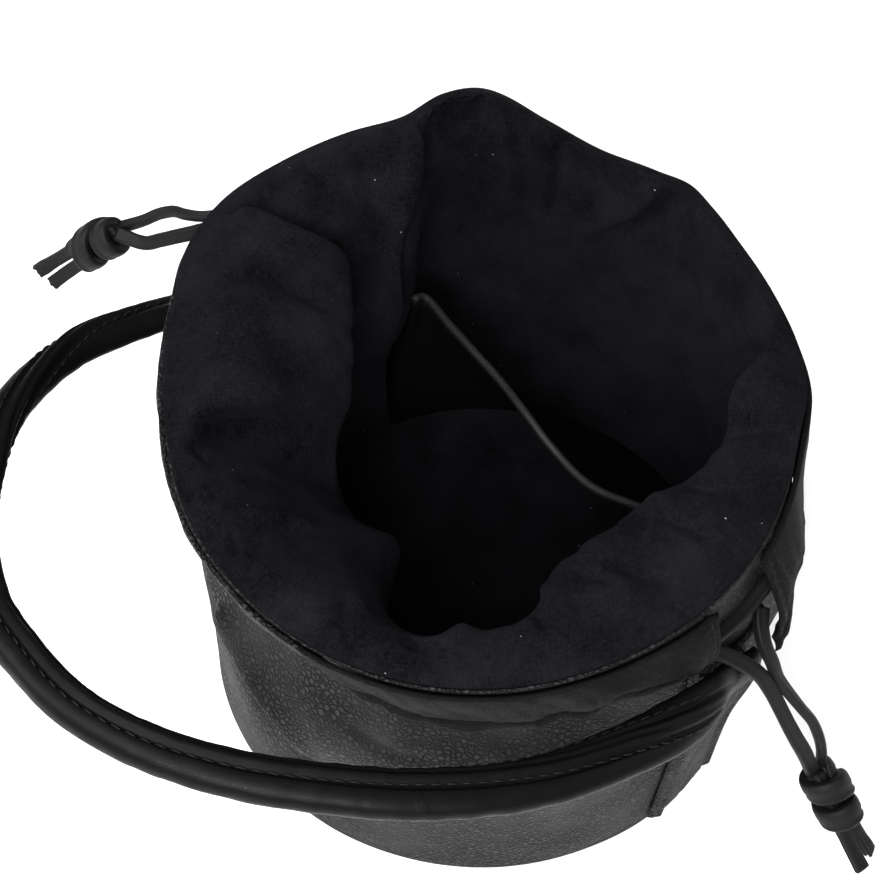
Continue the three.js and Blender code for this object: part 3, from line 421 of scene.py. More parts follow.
def column_spline(places, values, at):
    """The same spline, with places and values of its own for every element of at."""
    places, values = np.asarray(places, float), np.asarray(values, float)
    slopes = np.empty_like(values)
    slopes[..., 1:-1] = (values[..., 2:] - values[..., :-2]) / (places[..., 2:] - places[..., :-2])
    slopes[..., 0] = (values[..., 1] - values[..., 0]) / (places[..., 1] - places[..., 0])
    slopes[..., -1] = (values[..., -1] - values[..., -2]) / (places[..., -1] - places[..., -2])
    i = (places[..., 1:-1] <= at[..., None]).sum(-1)[..., None]

    def pick(table, k):
        return np.take_along_axis(table, k, -1)[..., 0]

    x0, x1 = pick(places, i), pick(places, i + 1)
    step = x1 - x0
    t = (at - x0) / step
    return (
        ((2 * t - 3) * t * t + 1) * pick(values, i)
        + (3 - 2 * t) * t * t * pick(values, i + 1)
        + ((t - 2) * t + 1) * t * step * pick(slopes, i)
        + (t - 1) * t * t * step * pick(slopes, i + 1)
    )


def polar(angle, radius, height):
    turn = np.radians(angle)
    return np.stack(np.broadcast_arrays(radius * np.cos(turn), radius * np.sin(turn), height), -1)


def unit(vectors):
    return vectors / np.linalg.norm(vectors, axis=-1, keepdims=True)


def noise(x, y, seed, period=0):
    """Smooth value noise from -1 to 1 on a unit lattice; period closes it along x."""
    lattice = np.random.default_rng(seed).uniform(-1, 1, (256, 256))
    x, y = np.broadcast_arrays(np.asarray(x, float), np.asarray(y, float))
    column, row = np.floor(x).astype(int), np.floor(y).astype(int)
    u, v = x - column, y - row
    u, v = u * u * (3 - 2 * u), v * v * (3 - 2 * v)
    wrap = period or 256
    left, right = column % wrap, (column + 1) % wrap
    low, high = row % 256, (row + 1) % 256
    below = lattice[left, low] * (1 - u) + lattice[right, low] * u
    above = lattice[left, high] * (1 - u) + lattice[right, high] * u
    return below * (1 - v) + above * v


def rough(x, y, seed, period=0, octaves=3):
    """Noise in octaves, each finer and weaker."""
    total = 0.0
    for k in range(octaves):
        total = total + noise(x * 2 ** k, y * 2 ** k, seed + k, period * 2 ** k) / 2 ** k
    return total


def bell(away, spread):
    """Bell curve of a distance, 1 in its middle."""
    return np.exp(-((away / spread) ** 2))


def smooth_step(low, high, x):
    t = np.clip((x - low) / (high - low), 0, 1)
    return t * t * (3 - 2 * t)


def fold_lift(folds, angle, height):
    """How far the rows of a fold table lift the wall."""
    lift = np.zeros(np.broadcast(angle, height).shape)
    arc = BASE_RADIUS * math.pi / 180
    for from_angle, from_height, to_angle, to_height, rise, spread in folds:
        run = np.array([(to_angle - from_angle) * arc, (to_height - from_height) * RIM_HEIGHT])
        across = (np.mod(angle - from_angle + 180, 360) - 180) * arc
        up = height - from_height * RIM_HEIGHT
        share = np.clip((across * run[0] + up * run[1]) / (run @ run), 0, 1)
        distance = np.hypot(across - share * run[0], up - share * run[1]) / (spread * BASE_RADIUS)
        lift = lift + rise * BASE_RADIUS * np.exp(-distance ** 2)
    return lift


def wall_at(angle):
    """Foot radius, rim radius, rim height, and the wall's profile as heights and radii."""
    foot, belly, waist, neck = np.moveaxis(spline(WALL, angle, 360), -1, 0)
    rim, top = np.moveaxis(spline(RIM, angle, 360), -1, 0)
    top = top * RIM_HEIGHT
    levels = [np.full_like(top, level * RIM_HEIGHT) for level in WALL_LEVELS]
    heights = np.stack([*levels, top], -1)
    radii = np.stack([foot, belly, waist, neck, rim], -1) * BASE_RADIUS
    return foot * BASE_RADIUS, rim * BASE_RADIUS, top, heights, radii


def wall_radius(angle, height):
    """Radius of the leather wall's outer face."""
    angle, height = np.broadcast_arrays(np.asarray(angle, float), np.asarray(height, float))
    _, _, top, heights, radii = wall_at(angle)
    low = heights[..., 0]
    share = np.clip((height - low) / (top - low), 0, 1)
    lift = fold_lift(WALL_FOLDS, angle, height) * np.sin(math.pi * share)
    return column_spline(heights, radii, height) + lift


def crease_lift(creases, surface, grid, normals):
    """How far a table of creases lifts the points of a grid; surface(angle, place) gives a line's
    points, and left is to the left of a line as seen from outside."""
    lift = np.zeros(grid.shape[:2])
    for rise, left, right, line in creases:
        line = np.array(line, float)
        at = np.column_stack([np.arange(len(line)), line])
        path = spline(at, np.linspace(0, len(line) - 1, 14 * len(line)))
        points = surface(path[:, 0], path[:, 1])
        tangent = unit(np.gradient(points, axis=0))
        reach = 3.0 * max(left, right)
        low, high = points.min(0) - reach, points.max(0) + reach
        near = np.all((grid > low) & (grid < high), -1)
        some = grid[near]
        apart = some[:, None] - points[None]
        nearest = np.argmin((apart ** 2).sum(-1), 1)
        apart = apart[np.arange(len(some)), nearest]
        side = (np.cross(normals[near], tangent[nearest]) * apart).sum(-1)
        spread = np.where(side > 0, left, right)
        share = nearest / (len(points) - 1)
        taper = smooth_step(0, 0.22, share) * (1 - smooth_step(0.72, 1, share))
        lift[near] += rise * np.exp(-(apart ** 2).sum(-1) / spread ** 2) * (0.15 + 0.85 * taper)
    return lift


# Helpers that make meshes

def make(name, points, faces, material, replaced=(), slot=None):
    """A piece from points in millimetres, riding on the one body."""
    data = bpy.data.meshes.new(name)
    points = np.asarray(points, float).reshape(-1, 3)
    data.from_pydata((points * MM).tolist(), [], [list(face) for face in faces])
    data.validate()
    data.polygons.foreach_set("use_smooth", [True] * len(data.polygons))
    data.materials.append(material)
    piece = bpy.data.objects.new(name, data)
    bpy.context.scene.collection.objects.link(piece)
    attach(piece, "root")
    if replaced:
        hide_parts(*replaced)
    return piece


def grid_faces(rows, columns, close_rows=False, close_columns=False, start=0):
    """Quads of a grid whose point (row, column) is row * columns + column."""
    i = np.arange(rows if close_rows else rows - 1)[:, None]
    j = np.arange(columns if close_columns else columns - 1)[None, :]
    up, right = (i + 1) % rows, (j + 1) % columns
    quads = [i * columns + j, i * columns + right, up * columns + right, up * columns + j]
    return (np.stack(np.broadcast_arrays(*quads), -1).reshape(-1, 4) + start).tolist()


def faced(points, faces):
    """The faces, turned inside out where their volume comes out negative."""
    flat = np.asarray(points, float).reshape(-1, 3)
    corners = np.array([[face[0], face[1], face[2]] for face in faces])
    a, b, c = flat[corners[:, 0]], flat[corners[:, 1]], flat[corners[:, 2]]
    if np.einsum("ij,ij->", a, np.cross(b, c)) < 0:
        return [face[::-1] for face in faces]
    return faces


def normals_of(grid, closed=False):
    """Unit normals of a grid of points, rows first; closed joins its last column to the first."""
    rows = np.gradient(grid, axis=0)
    if closed:
        columns = np.roll(grid, -1, 1) - np.roll(grid, 1, 1)
    else:
        columns = np.gradient(grid, axis=1)
    return unit(np.cross(columns, rows))


def ring_solid(points):
    """Points and faces of a closed band: rows run round its section, columns round the bag."""
    rows, columns = points.shape[:2]
    faces = grid_faces(rows, columns, close_rows=True, close_columns=True)
    return points.reshape(-1, 3), faced(points, faces)


def capped(rings):
    """Points and faces of a stack of rings with a flat cap at each end."""
    rows, columns = rings.shape[:2]
    faces = grid_faces(rows, columns, close_columns=True)
    faces.append(list(range(columns))[::-1])
    faces.append(list(range((rows - 1) * columns, rows * columns)))
    return rings.reshape(-1, 3), faced(rings, faces)


def tube(path, sections, across, up):
    """Points and faces of a tube: sections[i] holds its i-th ring as offsets across and up."""
    return capped(
        path[:, None, :]
        + sections[..., 0:1] * across[:, None, :]
        + sections[..., 1:2] * up[:, None, :]
    )


def join(parts):
    """One list of points and faces from several."""
    points, faces, start = [], [], 0
    for some, their in parts:
        points.append(np.asarray(some).reshape(-1, 3))
        faces += [[i + start for i in face] for face in their]
        start += len(points[-1])
    return np.vstack(points), faces


def catmull(points, steps):
    """Centripetal Catmull-Rom curve through the points, steps samples between two of them."""
    points = np.asarray(points, float)
    ends = [2 * points[0] - points[1], 2 * points[-1] - points[-2]]
    padded = np.vstack([ends[0], points, ends[1]])
    out = []
    for k in range(len(points) - 1):
        p0, p1, p2, p3 = padded[k:k + 4]
        d0, d1, d2 = (np.linalg.norm(b - a) ** 0.5 for a, b in ((p0, p1), (p1, p2), (p2, p3)))
        m1 = ((p1 - p0) / d0 - (p2 - p0) / (d0 + d1) + (p2 - p1) / d1) * d1
        m2 = ((p2 - p1) / d1 - (p3 - p1) / (d1 + d2) + (p3 - p2) / d2) * d1
        t = np.linspace(0, 1, steps, endpoint=False)[:, None]
        out.append(
            p1 + t * m1 + t ** 2 * (3 * (p2 - p1) - 2 * m1 - m2) + t ** 3 * (2 * (p1 - p2) + m1 + m2)
        )
    out.append(points[-1:])
    return np.vstack(out)


def run_of(path):
    """Distance along a path at each of its points."""
    return np.concatenate([[0], np.cumsum(np.linalg.norm(np.diff(path, axis=0), axis=1))])


def spaced(path, count):
    """The path again, as count points at even distances."""
    run = run_of(path)
    at = np.linspace(0, run[-1], count)
    return np.stack([np.interp(at, run, path[:, k]) for k in range(3)], -1)


def carried_frame(path, first_up):
    """Tangent, across and up at each point, the up carried along without twist."""
    tangent = unit(np.gradient(path, axis=0))
    up = np.empty_like(path)
    last = np.asarray(first_up, float)
    for i, direction in enumerate(tangent):
        last = last - direction * (last @ direction)
        last = last / np.linalg.norm(last)
        up[i] = last
    return tangent, np.cross(tangent, up), up


def rolled(across, up, degrees):
    """The frame's across and up, rolled by an angle at each point."""
    c, s = np.cos(np.radians(degrees))[:, None], np.sin(np.radians(degrees))[:, None]
    return across * c + up * s, up * c - across * s


STITCH_SIDES = 6
# length, gap and radius of the stitches in each seam
STRIP_STITCH = (2.6, 0.9, 0.28)
CASING_STITCH = (2.6, 0.9, 0.26)
CASING_END_STITCH = (2.4, 0.9, 0.26)
HANDLE_STITCH = (3.0, 1.0, 0.30)


def stitches(path, up, length, gap, radius, slant=0.0, sink=0.25):
    """Points and faces of a row of thread stitches that lie on a path; up points off the leather."""
    run = run_of(path)
    parts = []
    pitch = length + gap
    count = int(run[-1] // pitch)
    offset = (run[-1] - count * pitch + gap) / 2
    tangents = unit(np.gradient(path, axis=0))
    around = np.linspace(0, 2 * math.pi, STITCH_SIDES, endpoint=False)
    for k in range(count):
        middle = offset + k * pitch + length / 2
        place, off, direction = (
            np.array([np.interp(middle, run, table[:, c]) for c in range(3)])
            for table in (path, up, tangents)
        )
        off = unit(off)
        side = unit(np.cross(off, direction))
        direction = unit(direction + side * math.tan(math.radians(slant)))
        side = np.cross(off, direction)
        rings = []
        for share, size in ((-0.5, 0.25), (-0.36, 0.85), (0.0, 1.0), (0.36, 0.85), (0.5, 0.25)):
            depth = radius * (1 - 2 * sink) - abs(share) ** 3 * radius * 9
            centre = place + direction * share * length + off * depth
            ring = np.cos(around)[:, None] * side + np.sin(around)[:, None] * off
            rings.append(centre + ring * radius * size)
        parts.append(capped(np.array(rings)))
    return join(parts)


# Materials

def new_material(name):
    material = bpy.data.materials.new(name)
    material.use_nodes = True
    tree = material.node_tree
    shader = tree.nodes["Principled BSDF"]
    return material, tree, shader


def node(tree, kind, values=None, **settings):
    made = tree.nodes.new(kind)
    for key, value in settings.items():
        setattr(made, key, value)
    for key, value in (values or {}).items():
        made.inputs[key].default_value = value
    return made


def link(tree, source, target):
    tree.links.new(source, target)


def coordinates(tree):
    """Object coordinates in millimetres."""
    place = node(tree, "ShaderNodeTexCoord")
    sized = node(tree, "ShaderNodeMapping")
    sized.inputs["Scale"].default_value = [1 / MM] * 3
    link(tree, place.outputs["Object"], sized.inputs["Vector"])
    return sized.outputs["Vector"]


def math_node(tree, operation, a, b):
    made = node(tree, "ShaderNodeMath", operation=operation)
    for index, value in enumerate((a, b)):
        if isinstance(value, (int, float)):
            made.inputs[index].default_value = value
        else:
            link(tree, value, made.inputs[index])
    return made.outputs[0]


def ramp(tree, source, stops):
    made = node(tree, "ShaderNodeValToRGB")
    elements = made.color_ramp.elements
    while len(elements) < len(stops):
        elements.new(0.5)
    for element, (place, value) in zip(elements, stops):
        element.position = place
        element.color = (*value, 1) if isinstance(value, tuple) else (value, value, value, 1)
    link(tree, source, made.inputs["Fac"])
    return made.outputs["Color"]


def noise_node(tree, vector, scale, detail=2.0, roughness=0.5):
    made = node(tree, "ShaderNodeTexNoise", {"Scale": scale, "Detail": detail, "Roughness": roughness})
    link(tree, vector, made.inputs["Vector"])
    return made.outputs["Fac"]


def bump(tree, height, distance, strength=1.0, under=None):
    made = node(tree, "ShaderNodeBump", {"Strength": strength, "Distance": distance * MM})
    link(tree, height, made.inputs["Height"])
    if under is not None:
        link(tree, under, made.inputs["Normal"])
    return made.outputs["Normal"]


def warped(tree, vector, scale, amount):
    """A vector moved by soft noise, so that cells lose their straight edges."""
    made = node(tree, "ShaderNodeTexNoise", {"Scale": scale, "Detail": 1.0})
    link(tree, vector, made.inputs["Vector"])
    moved = node(tree, "ShaderNodeVectorMath", operation="MULTIPLY_ADD")
    link(tree, made.outputs["Color"], moved.inputs[0])
    moved.inputs[1].default_value = (amount, amount, amount)
    link(tree, vector, moved.inputs[2])
    return moved.outputs["Vector"]


def leather(name, low, high, roughness, cell, relief, grain=0.05, specular=0.2):
    """Leather with cells of a size and relief in millimetres, coloured from painted shade in the creases
    to a painted highlight on the tops.
    """
    material, tree, shader = new_material(name)
    place = coordinates(tree)
    cells = node(tree, "ShaderNodeTexVoronoi", {"Scale": 1.0 / cell}, feature="DISTANCE_TO_EDGE")
    link(tree, warped(tree, place, 0.9 / cell, 0.45 * cell), cells.inputs["Vector"])
    domes = [(0.0, 0.0), (0.08, 0.45), (0.22, 0.85), (0.42, 1.0)]
    plateau = ramp(tree, cells.outputs["Distance"], domes)
    patches = noise_node(tree, place, 0.045, 2.0)
    depth = ramp(tree, patches, [(0.30, 0.35), (0.62, 1.0)])
    raised = math_node(tree, "MULTIPLY", plateau, depth)
    fine = noise_node(tree, place, 2.6 / cell, 4.0, 0.6)
    pores = noise_node(tree, place, 1.6, 2.0, 0.6)
    under = bump(tree, fine, grain * 3)
    under = bump(tree, pores, grain, under=under)
    link(tree, bump(tree, raised, relief, under=under), shader.inputs["Normal"])
    shade = node(tree, "ShaderNodeMix", data_type="RGBA")
    # colour lighter on the pebbles' tops and darker at their edges: painted highlight on the tops and
    # painted shade in the crevices, with less of the shade where the pebbles are shallow
    painted_pebble_light = ramp(tree, cells.outputs["Distance"], [(0.04, 0.0), (0.20, 0.35), (0.42, 1.0)])
    even = ramp(tree, patches, [(0.30, 0.45), (0.62, 0.0)])
    tone = math_node(tree, "MAXIMUM", painted_pebble_light, even)
    tone = math_node(tree, "MULTIPLY", tone, ramp(tree, fine, [(0.3, 0.55), (0.7, 1.0)]))
    link(tree, tone, shade.inputs["Factor"])
    shade.inputs[6].default_value = (*low, 1)
    shade.inputs[7].default_value = (*high, 1)
    link(tree, shade.outputs[2], shader.inputs["Base Color"])
    gloss = ramp(tree, tone, [(0.0, roughness + 0.22), (1.0, roughness - 0.04)])
    link(tree, gloss, shader.inputs["Roughness"])
    shader.inputs["Specular IOR Level"].default_value = specular
    return material


def cotton(name, dark, light):
    """Matte woven cotton with slubs along warp and weft and sparse pale lint."""
    material, tree, shader = new_material(name)
    place = coordinates(tree)
    cloth = node(tree, "ShaderNodeAttribute", attribute_name="cloth")
    threads = []
    for scale in ((0.30, 2.6, 1.0), (2.6, 0.30, 1.0)):
        sized = node(tree, "ShaderNodeMapping")
        sized.inputs["Scale"].default_value = scale
        link(tree, cloth.outputs["Vector"], sized.inputs["Vector"])
        threads.append(noise_node(tree, sized.outputs["Vector"], 1.0, 2.0, 0.6))
    weave = math_node(tree, "ADD", *threads)
    nap = noise_node(tree, place, 1.3, 4.0, 0.7)
    cloud = noise_node(tree, place, 0.06, 3.0, 0.55)
    height = math_node(tree, "ADD", weave, nap)
    link(tree, bump(tree, height, 0.30), shader.inputs["Normal"])
    # colour lighter where the weave and nap stand up: painted shade in the hollows between threads, over
    # a random cloud of tone
    tone = math_node(tree, "MULTIPLY", height, 0.33)
    tone = math_node(tree, "ADD", tone, math_node(tree, "MULTIPLY", cloud, 0.5))
    colour = node(tree, "ShaderNodeMix", data_type="RGBA")
    link(tree, ramp(tree, tone, [(0.58, 0.0), (0.90, 1.0)]), colour.inputs["Factor"])
    colour.inputs[6].default_value = (*dark, 1)
    colour.inputs[7].default_value = (*light, 1)
    specks = node(tree, "ShaderNodeTexVoronoi", {"Scale": 0.42, "Randomness": 1.0})
    link(tree, warped(tree, place, 1.2, 0.8), specks.inputs["Vector"])
    near = math_node(tree, "LESS_THAN", specks.outputs["Distance"], 0.085)
    split = node(tree, "ShaderNodeSeparateColor")
    link(tree, specks.outputs["Color"], split.inputs["Color"])
    rare = math_node(tree, "GREATER_THAN", split.outputs["Red"], 0.965)
    pale = math_node(tree, "MULTIPLY", near, rare)
    pale = math_node(tree, "MULTIPLY", pale, split.outputs["Green"])
    dusted = node(tree, "ShaderNodeMix", data_type="RGBA")
    link(tree, pale, dusted.inputs["Factor"])
    link(tree, colour.outputs[2], dusted.inputs[6])
    dusted.inputs[7].default_value = (0.32, 0.33, 0.36, 1)
    link(tree, dusted.outputs[2], shader.inputs["Base Color"])
    shader.inputs["Roughness"].default_value = 0.95
    shader.inputs["Specular IOR Level"].default_value = 0.02
    shader.inputs["Sheen Weight"].default_value = 0.012
    shader.inputs["Sheen Roughness"].default_value = 0.45
    shader.inputs["Sheen Tint"].default_value = (0.55, 0.58, 0.72, 1)
    return material


def thread_material(name, colour):
    """Twisted sewing thread."""
    material, tree, shader = new_material(name)
    place = coordinates(tree)
    ply = noise_node(tree, place, 3.5, 2.0)
    link(tree, bump(tree, ply, 0.08), shader.inputs["Normal"])
    # colour darker where the twist's bump is low: painted shade in the twist's hollows
    tint = ramp(tree, ply, [(0.3, tuple(0.6 * c for c in colour)), (0.7, colour)])
    link(tree, tint, shader.inputs["Base Color"])
    shader.inputs["Roughness"].default_value = 0.5
    shader.inputs["Specular IOR Level"].default_value = 0.12
    return material


def floor_material(name):
    """Pale, nearly plain studio floor."""
    material, tree, shader = new_material(name)
    place = coordinates(tree)
    mottle = noise_node(tree, place, 0.02, 2.0)
    link(tree, ramp(tree, mottle, [(0.0, 0.86), (1.0, 0.90)]), shader.inputs["Base Color"])
    shader.inputs["Roughness"].default_value = 0.7
    shader.inputs["Specular IOR Level"].default_value = 0.2
    return material


# in each leather the first colour is the painted shade of its crevices and the second the painted
# highlight of its pebble tops
PEBBLED = leather(
    "pebbled_leather", (0.0016, 0.0016, 0.0018), (0.0250, 0.0240, 0.0252), 0.42, 1.7, 0.50, 0.05,
    specular=0.10,
)
SOFT = leather(
    "soft_leather", (0.0020, 0.0019, 0.0020), (0.0066, 0.0063, 0.0065), 0.52, 1.1, 0.14, 0.05,
    specular=0.05,
)
SMOOTH = leather(
    "smooth_leather", (0.0018, 0.0016, 0.0016), (0.0028, 0.0025, 0.0025), 0.27, 0.9, 0.02, 0.012,
    specular=0.075,
)
LACE = leather(
    "lace_leather", (0.0028, 0.0028, 0.0030), (0.0058, 0.0058, 0.0062), 0.40, 0.8, 0.05, 0.03,
    specular=0.12,
)
FABRIC = cotton("lining_fabric", (0.0009, 0.0009, 0.0012), (0.0070, 0.0069, 0.0085))
PANEL = leather(
    "pocket_leather", (0.0016, 0.0016, 0.0018), (0.0024, 0.0024, 0.0026), 0.60, 1.2, 0.02, 0.02,
    specular=0.03,
)
BINDING = leather(
    "binding_leather", (0.0030, 0.0030, 0.0032), (0.0130, 0.0126, 0.0130), 0.36, 0.6, 0.14, 0.03,
)
THREAD = thread_material("thread", (0.0050, 0.0047, 0.0048))


# Camera, first of all because the cords are measured against its view

def camera():
    data = bpy.data.cameras.new("photo_camera")
    data.lens = CAMERA_LENS
    data.sensor_width = SENSOR
    data.clip_start = 0.01
    data.clip_end = 20.0
    made = bpy.data.objects.new("photo_camera", data)
    made.location = [c * MM for c in CAMERA_AT]
    made.rotation_euler = (math.radians(90 - CAMERA_DOWN), 0, 0)
    bpy.context.scene.collection.objects.link(made)
    bpy.context.scene.camera = made


# Laces: flat straps folded in two, with a seam groove along their open edge

LACE_SIDES = 28


def strap_section(width, thickness, groove=0.34):
    """Offsets round a folded strap: round folded edge, and an open edge split by a groove."""
    turn = np.linspace(0, 2 * math.pi, LACE_SIDES, endpoint=False)
    c, s = np.cos(turn), np.sin(turn)
    x = np.sign(c) * np.abs(c) ** 0.55 * width / 2
    y = np.sign(s) * np.abs(s) ** 0.75 * thickness / 2
    edge = bell(s, 0.22) * (np.abs(c) > 0.5)
    x = x * (1 - groove * edge * np.where(c > 0, 0.55, 0.25) * thickness / width)
    seam = bell(x - 0.24 * width, 0.055 * width)
    y = y * (1 - 0.30 * seam)
    return np.stack([x, y], -1)


def knot_frame(name):
    """Where the laces enter a knot, its axis, and its ends' side-by-side and face directions."""
    at, to, roll = KNOTS[name]
    at = np.array(at, float)
    axis = unit(np.array(to, float) - at)
    turn_axis = unit(np.cross((0.0, 1.0, 0.0), axis))
    angle = math.acos(axis[1])
    x = rotated(np.array([1.0, 0.0, 0.0]), turn_axis, angle)
    z = rotated(np.array([0.0, 0.0, 1.0]), turn_axis, angle)
    c, s = math.cos(math.radians(roll)), math.sin(math.radians(roll))
    return at, axis, x * c - z * s, x * s + z * c


def rotated(vector, axis, angle):
    """The vector turned about a unit axis, in radians."""
    c, s = math.cos(angle), math.sin(angle)
    return vector * c + np.cross(axis, vector) * s + axis * (axis @ vector) * (1 - c)


def lace_path(part):
    """A lace's middle line, from its casing to its place beside the other lace at the knot."""
    at, axis, _, _ = knot_frame(part["knot"])
    sideways = np.array([-at[1], at[0], 0.0])
    sideways = unit(sideways - axis * (sideways @ axis))
    end = at + sideways * part["side"] * LACE_PAIR / 2
    return catmull(np.vstack([polar(*np.array(part["route"]).T), end]), 10)


def strap(path, turns, width=LACE_WIDTH, thickness=LACE_THICKNESS):
    """A folded strap along a path; turns, spread evenly over it, roll its face from the view."""
    count = max(int(run_of(path)[-1] / 0.8), 12)
    path = spaced(path, count)
    tangent = unit(np.gradient(path, axis=0))
    view = unit(np.array(CAMERA_AT) - path)
    up = unit(view - tangent * (view * tangent).sum(-1, keepdims=True))
    across = np.cross(tangent, up)
    share = np.linspace(0, 1, count)
    roll = np.interp(share, np.linspace(0, 1, len(turns)), turns)
    across, up = rolled(across, up, roll)
    wobble = 1 + 0.04 * noise(share * count / 9, 0.5, 31)[:, None]
    sections = strap_section(width, thickness)[None] * wobble[..., None]
    return path, across, up, tube(path, sections, across, up)


def laces():
    """The four laces with their middle lines, and the two runs that cross the casings' gaps."""
    made = {}
    for name, part in LACES.items():
        path = lace_path(part)
        path, across, up, body = strap(path, part["turns"])
        made[name] = make(name, *body, LACE, [name], "lace_leather"), path
    for name, route in CORD_RUNS.items():
        path = catmull(polar(*np.array(route).T), 10)
        _, _, _, body = strap(path, (20, 20), thickness=RUN_THICKNESS)
        make(name, *body, LACE, [name], "lace_leather")
    return made


def knot(name):
    """Stopper knot: the strap wraps twice round both laces, crosses over and tucks in."""
    at, axis, spread, face = knot_frame(name)
    start = at + axis * KNOT_SEAT
    # share of the knot's length, radius and turn in degrees along the wrapping strap
    rows = [
        [0, 0.08, 1.8, 120], [1, 0.13, 4.0, 180], [2, 0.21, 4.9, 250], [3, 0.23, 5.0, 330],
        [4, 0.27, 5.0, 410], [5, 0.36, 5.2, 480], [6, 0.50, 5.5, 545], [7, 0.64, 5.3, 610],
        [8, 0.73, 5.0, 690], [9, 0.76, 5.0, 770], [10, 0.80, 4.7, 845], [11, 0.87, 3.7, 905],
        [12, 0.91, 2.0, 950],
    ]
    count = 200
    share, radius, turn = np.moveaxis(spline(rows, np.linspace(0, 12, count)), -1, 0)
    c, s = np.cos(np.radians(turn)), np.sin(np.radians(turn))
    outward = c[:, None] * spread + s[:, None] * face
    path = start + share[:, None] * KNOT_LENGTH * axis + outward * radius[:, None]
    tangent = unit(np.gradient(path, axis=0))
    across = unit(np.cross(tangent, outward))
    up = np.cross(across, tangent)
    wide, thick = KNOT_STRAP
    width = wide + 0.6 * noise(np.linspace(0, 9, count), 0.3, 5)
    section = strap_section(1.0, 1.0, groove=0.2)
    sections = np.stack([section[None, :, 0] * width[:, None],
                         np.broadcast_to(section[None, :, 1] * thick, (count, LACE_SIDES))], -1)
    wrap = tube(path, sections, across, up)
    core = np.linspace(0.0, KNOT_LENGTH, 14)[:, None] * axis + start
    inside = []
    for sign in (-1, 1):
        line = core + spread * sign * KNOT_CORE_APART / 2
        _, a, u = carried_frame(line, face)
        inside.append(tube(line, np.tile(strap_section(*KNOT_CORE)[None], (14, 1, 1)), a, u))
    return make(f"knot_{name}", *join([wrap, *inside]), LACE, [f"knot_{name}"], "lace_leather")


def tails(name):
    """The two lace ends past a knot, each with a cut, slightly ragged end."""
    at, axis, spread, face = knot_frame(name)
    start = at + axis * KNOT_SEAT
    made = {}
    for end, sign, seed in (("front", 1, 41), ("back", -1, 43)):
        first = start + axis * (KNOT_LENGTH + TAIL_SEAT - TAIL_TUCK) + spread * sign * TAIL_SPREAD / 2
        share = np.linspace(0, 1, 26)
        length = TAIL_LENGTH + TAIL_TUCK
        droop, lean = TAIL_BENDS[name]
        bend = (share ** 2)[:, None] * (face * (droop + 0.7 * sign) + spread * lean * sign)
        path = first + (share * length)[:, None] * axis + bend
        tangent = unit(np.gradient(path, axis=0))
        across = unit(spread - tangent * (tangent @ spread)[:, None])
        up = np.cross(tangent, across)
        across, up = rolled(across, up, 10 * sign * share)
        section = strap_section(LACE_WIDTH, TAIL_THICKNESS, groove=0.5)
        grow = 1 + 0.10 * smooth_step(0.6, 1.0, share) + 0.05 * noise(share * 6, 0.2, seed)
        sections = section[None] * grow[:, None, None]
        points, faces = tube(path, sections, across, up)
        rings = points.reshape(len(path), LACE_SIDES, 3)
        ragged = noise(np.arange(LACE_SIDES) * 0.9, 0.4, seed + 1)
        rings[-1] += ragged[:, None] * axis * 0.9
        rings[-2] += ragged[:, None] * axis * 0.5
        piece = f"tail_{name}_{end}"
        made[end] = make(piece, rings, faces, LACE, [piece], "lace_leather")
    return made


def cords():
    """Laces, knots and ends, hanging from the casings."""
    made = laces()
    for side in KNOTS:
        tied = knot(side)
        ends = tails(side)


# Leather wall and base

AROUND = 480
WALL_ROWS = 124


# Fine unevenness of the wall: cells round the bag, height of a cell and depth, in millimetres
PUCKERS = (64, 34, 0.45)
DRAPE = (22, 46, 0.55)
PUCKER_HEIGHT = 104
PUCKER_REACH = 9


def wall_detail(angle, height):
    """Unevenness of the soft leather that is finer than its folds and creases."""
    arc = (angle + 180) / 360
    count, tall, depth = PUCKERS
    puckers = rough(arc * count, height / tall, 3, count, 2)
    puckers = puckers * np.exp(-np.abs(height - PUCKER_HEIGHT) / PUCKER_REACH) * depth
    count, tall, depth = DRAPE
    return puckers + rough(arc * count, height / tall, 7, count, 3) * depth


def wall_points(angle, height):
    return polar(angle, wall_radius(angle, height), height)


def body_shell():
    """Soft wall, with its foot turned in under it and its rim left plain."""
    angle = np.linspace(-180, 180, AROUND, endpoint=False)
    foot, _, top, heights, _ = wall_at(angle)
    low = heights[..., 0]
    roll = np.radians(np.linspace(0, 82, 6))
    foot_rows = [
        polar(angle, foot - FOOT_TUCK * (1 - math.sin(a)), low * (1 - math.cos(a))) for a in roll
    ]
    share = np.linspace(0, 1, WALL_ROWS)[:, None]
    height = low + (top - low) * share
    face = wall_points(angle[None] + 0 * height, height)
    normal = normals_of(face, closed=True)
    normal = normal * np.sign((normal * face * (1, 1, 0)).sum(-1, keepdims=True))
    lift = wall_detail(angle, height) + crease_lift(WALL_CREASES, wall_points, face, normal)
    face = face + normal * (lift * body_fade(share, angle))[..., None]
    inner = []
    for part in np.linspace(0.97, 0.02, 24):
        level = low + (top - low) * part
        inner.append(polar(angle, wall_radius(angle, level) - LEATHER, level))
    edge = [polar(angle, wall_radius(angle, top) - LEATHER, top)]
    turned = [
        polar(angle, foot - FOOT_TUCK - LEATHER * 0.9, low * 0.5),
        polar(angle, foot - FOOT_TUCK - LEATHER, 0.0),
    ]
    points = np.array([*foot_rows, *face, *edge, *inner, *turned])
    return make("body_shell", *ring_solid(points), PEBBLED, ["body_shell"], "pebbled_leather")


def body_fade(share, angle):
    """Fine creases fade out at the foot, under the casings and under the side strips."""
    fade = smooth_step(0.0, 0.12, share) * (1 - smooth_step(0.70, 0.80, share))
    for centre in (RIGHT_STRIP_AT, LEFT_STRIP_AT):
        away = np.abs(np.mod(angle - centre + 180, 360) - 180)
        fade = fade * smooth_step(10.0, 14.0, away)
    return fade


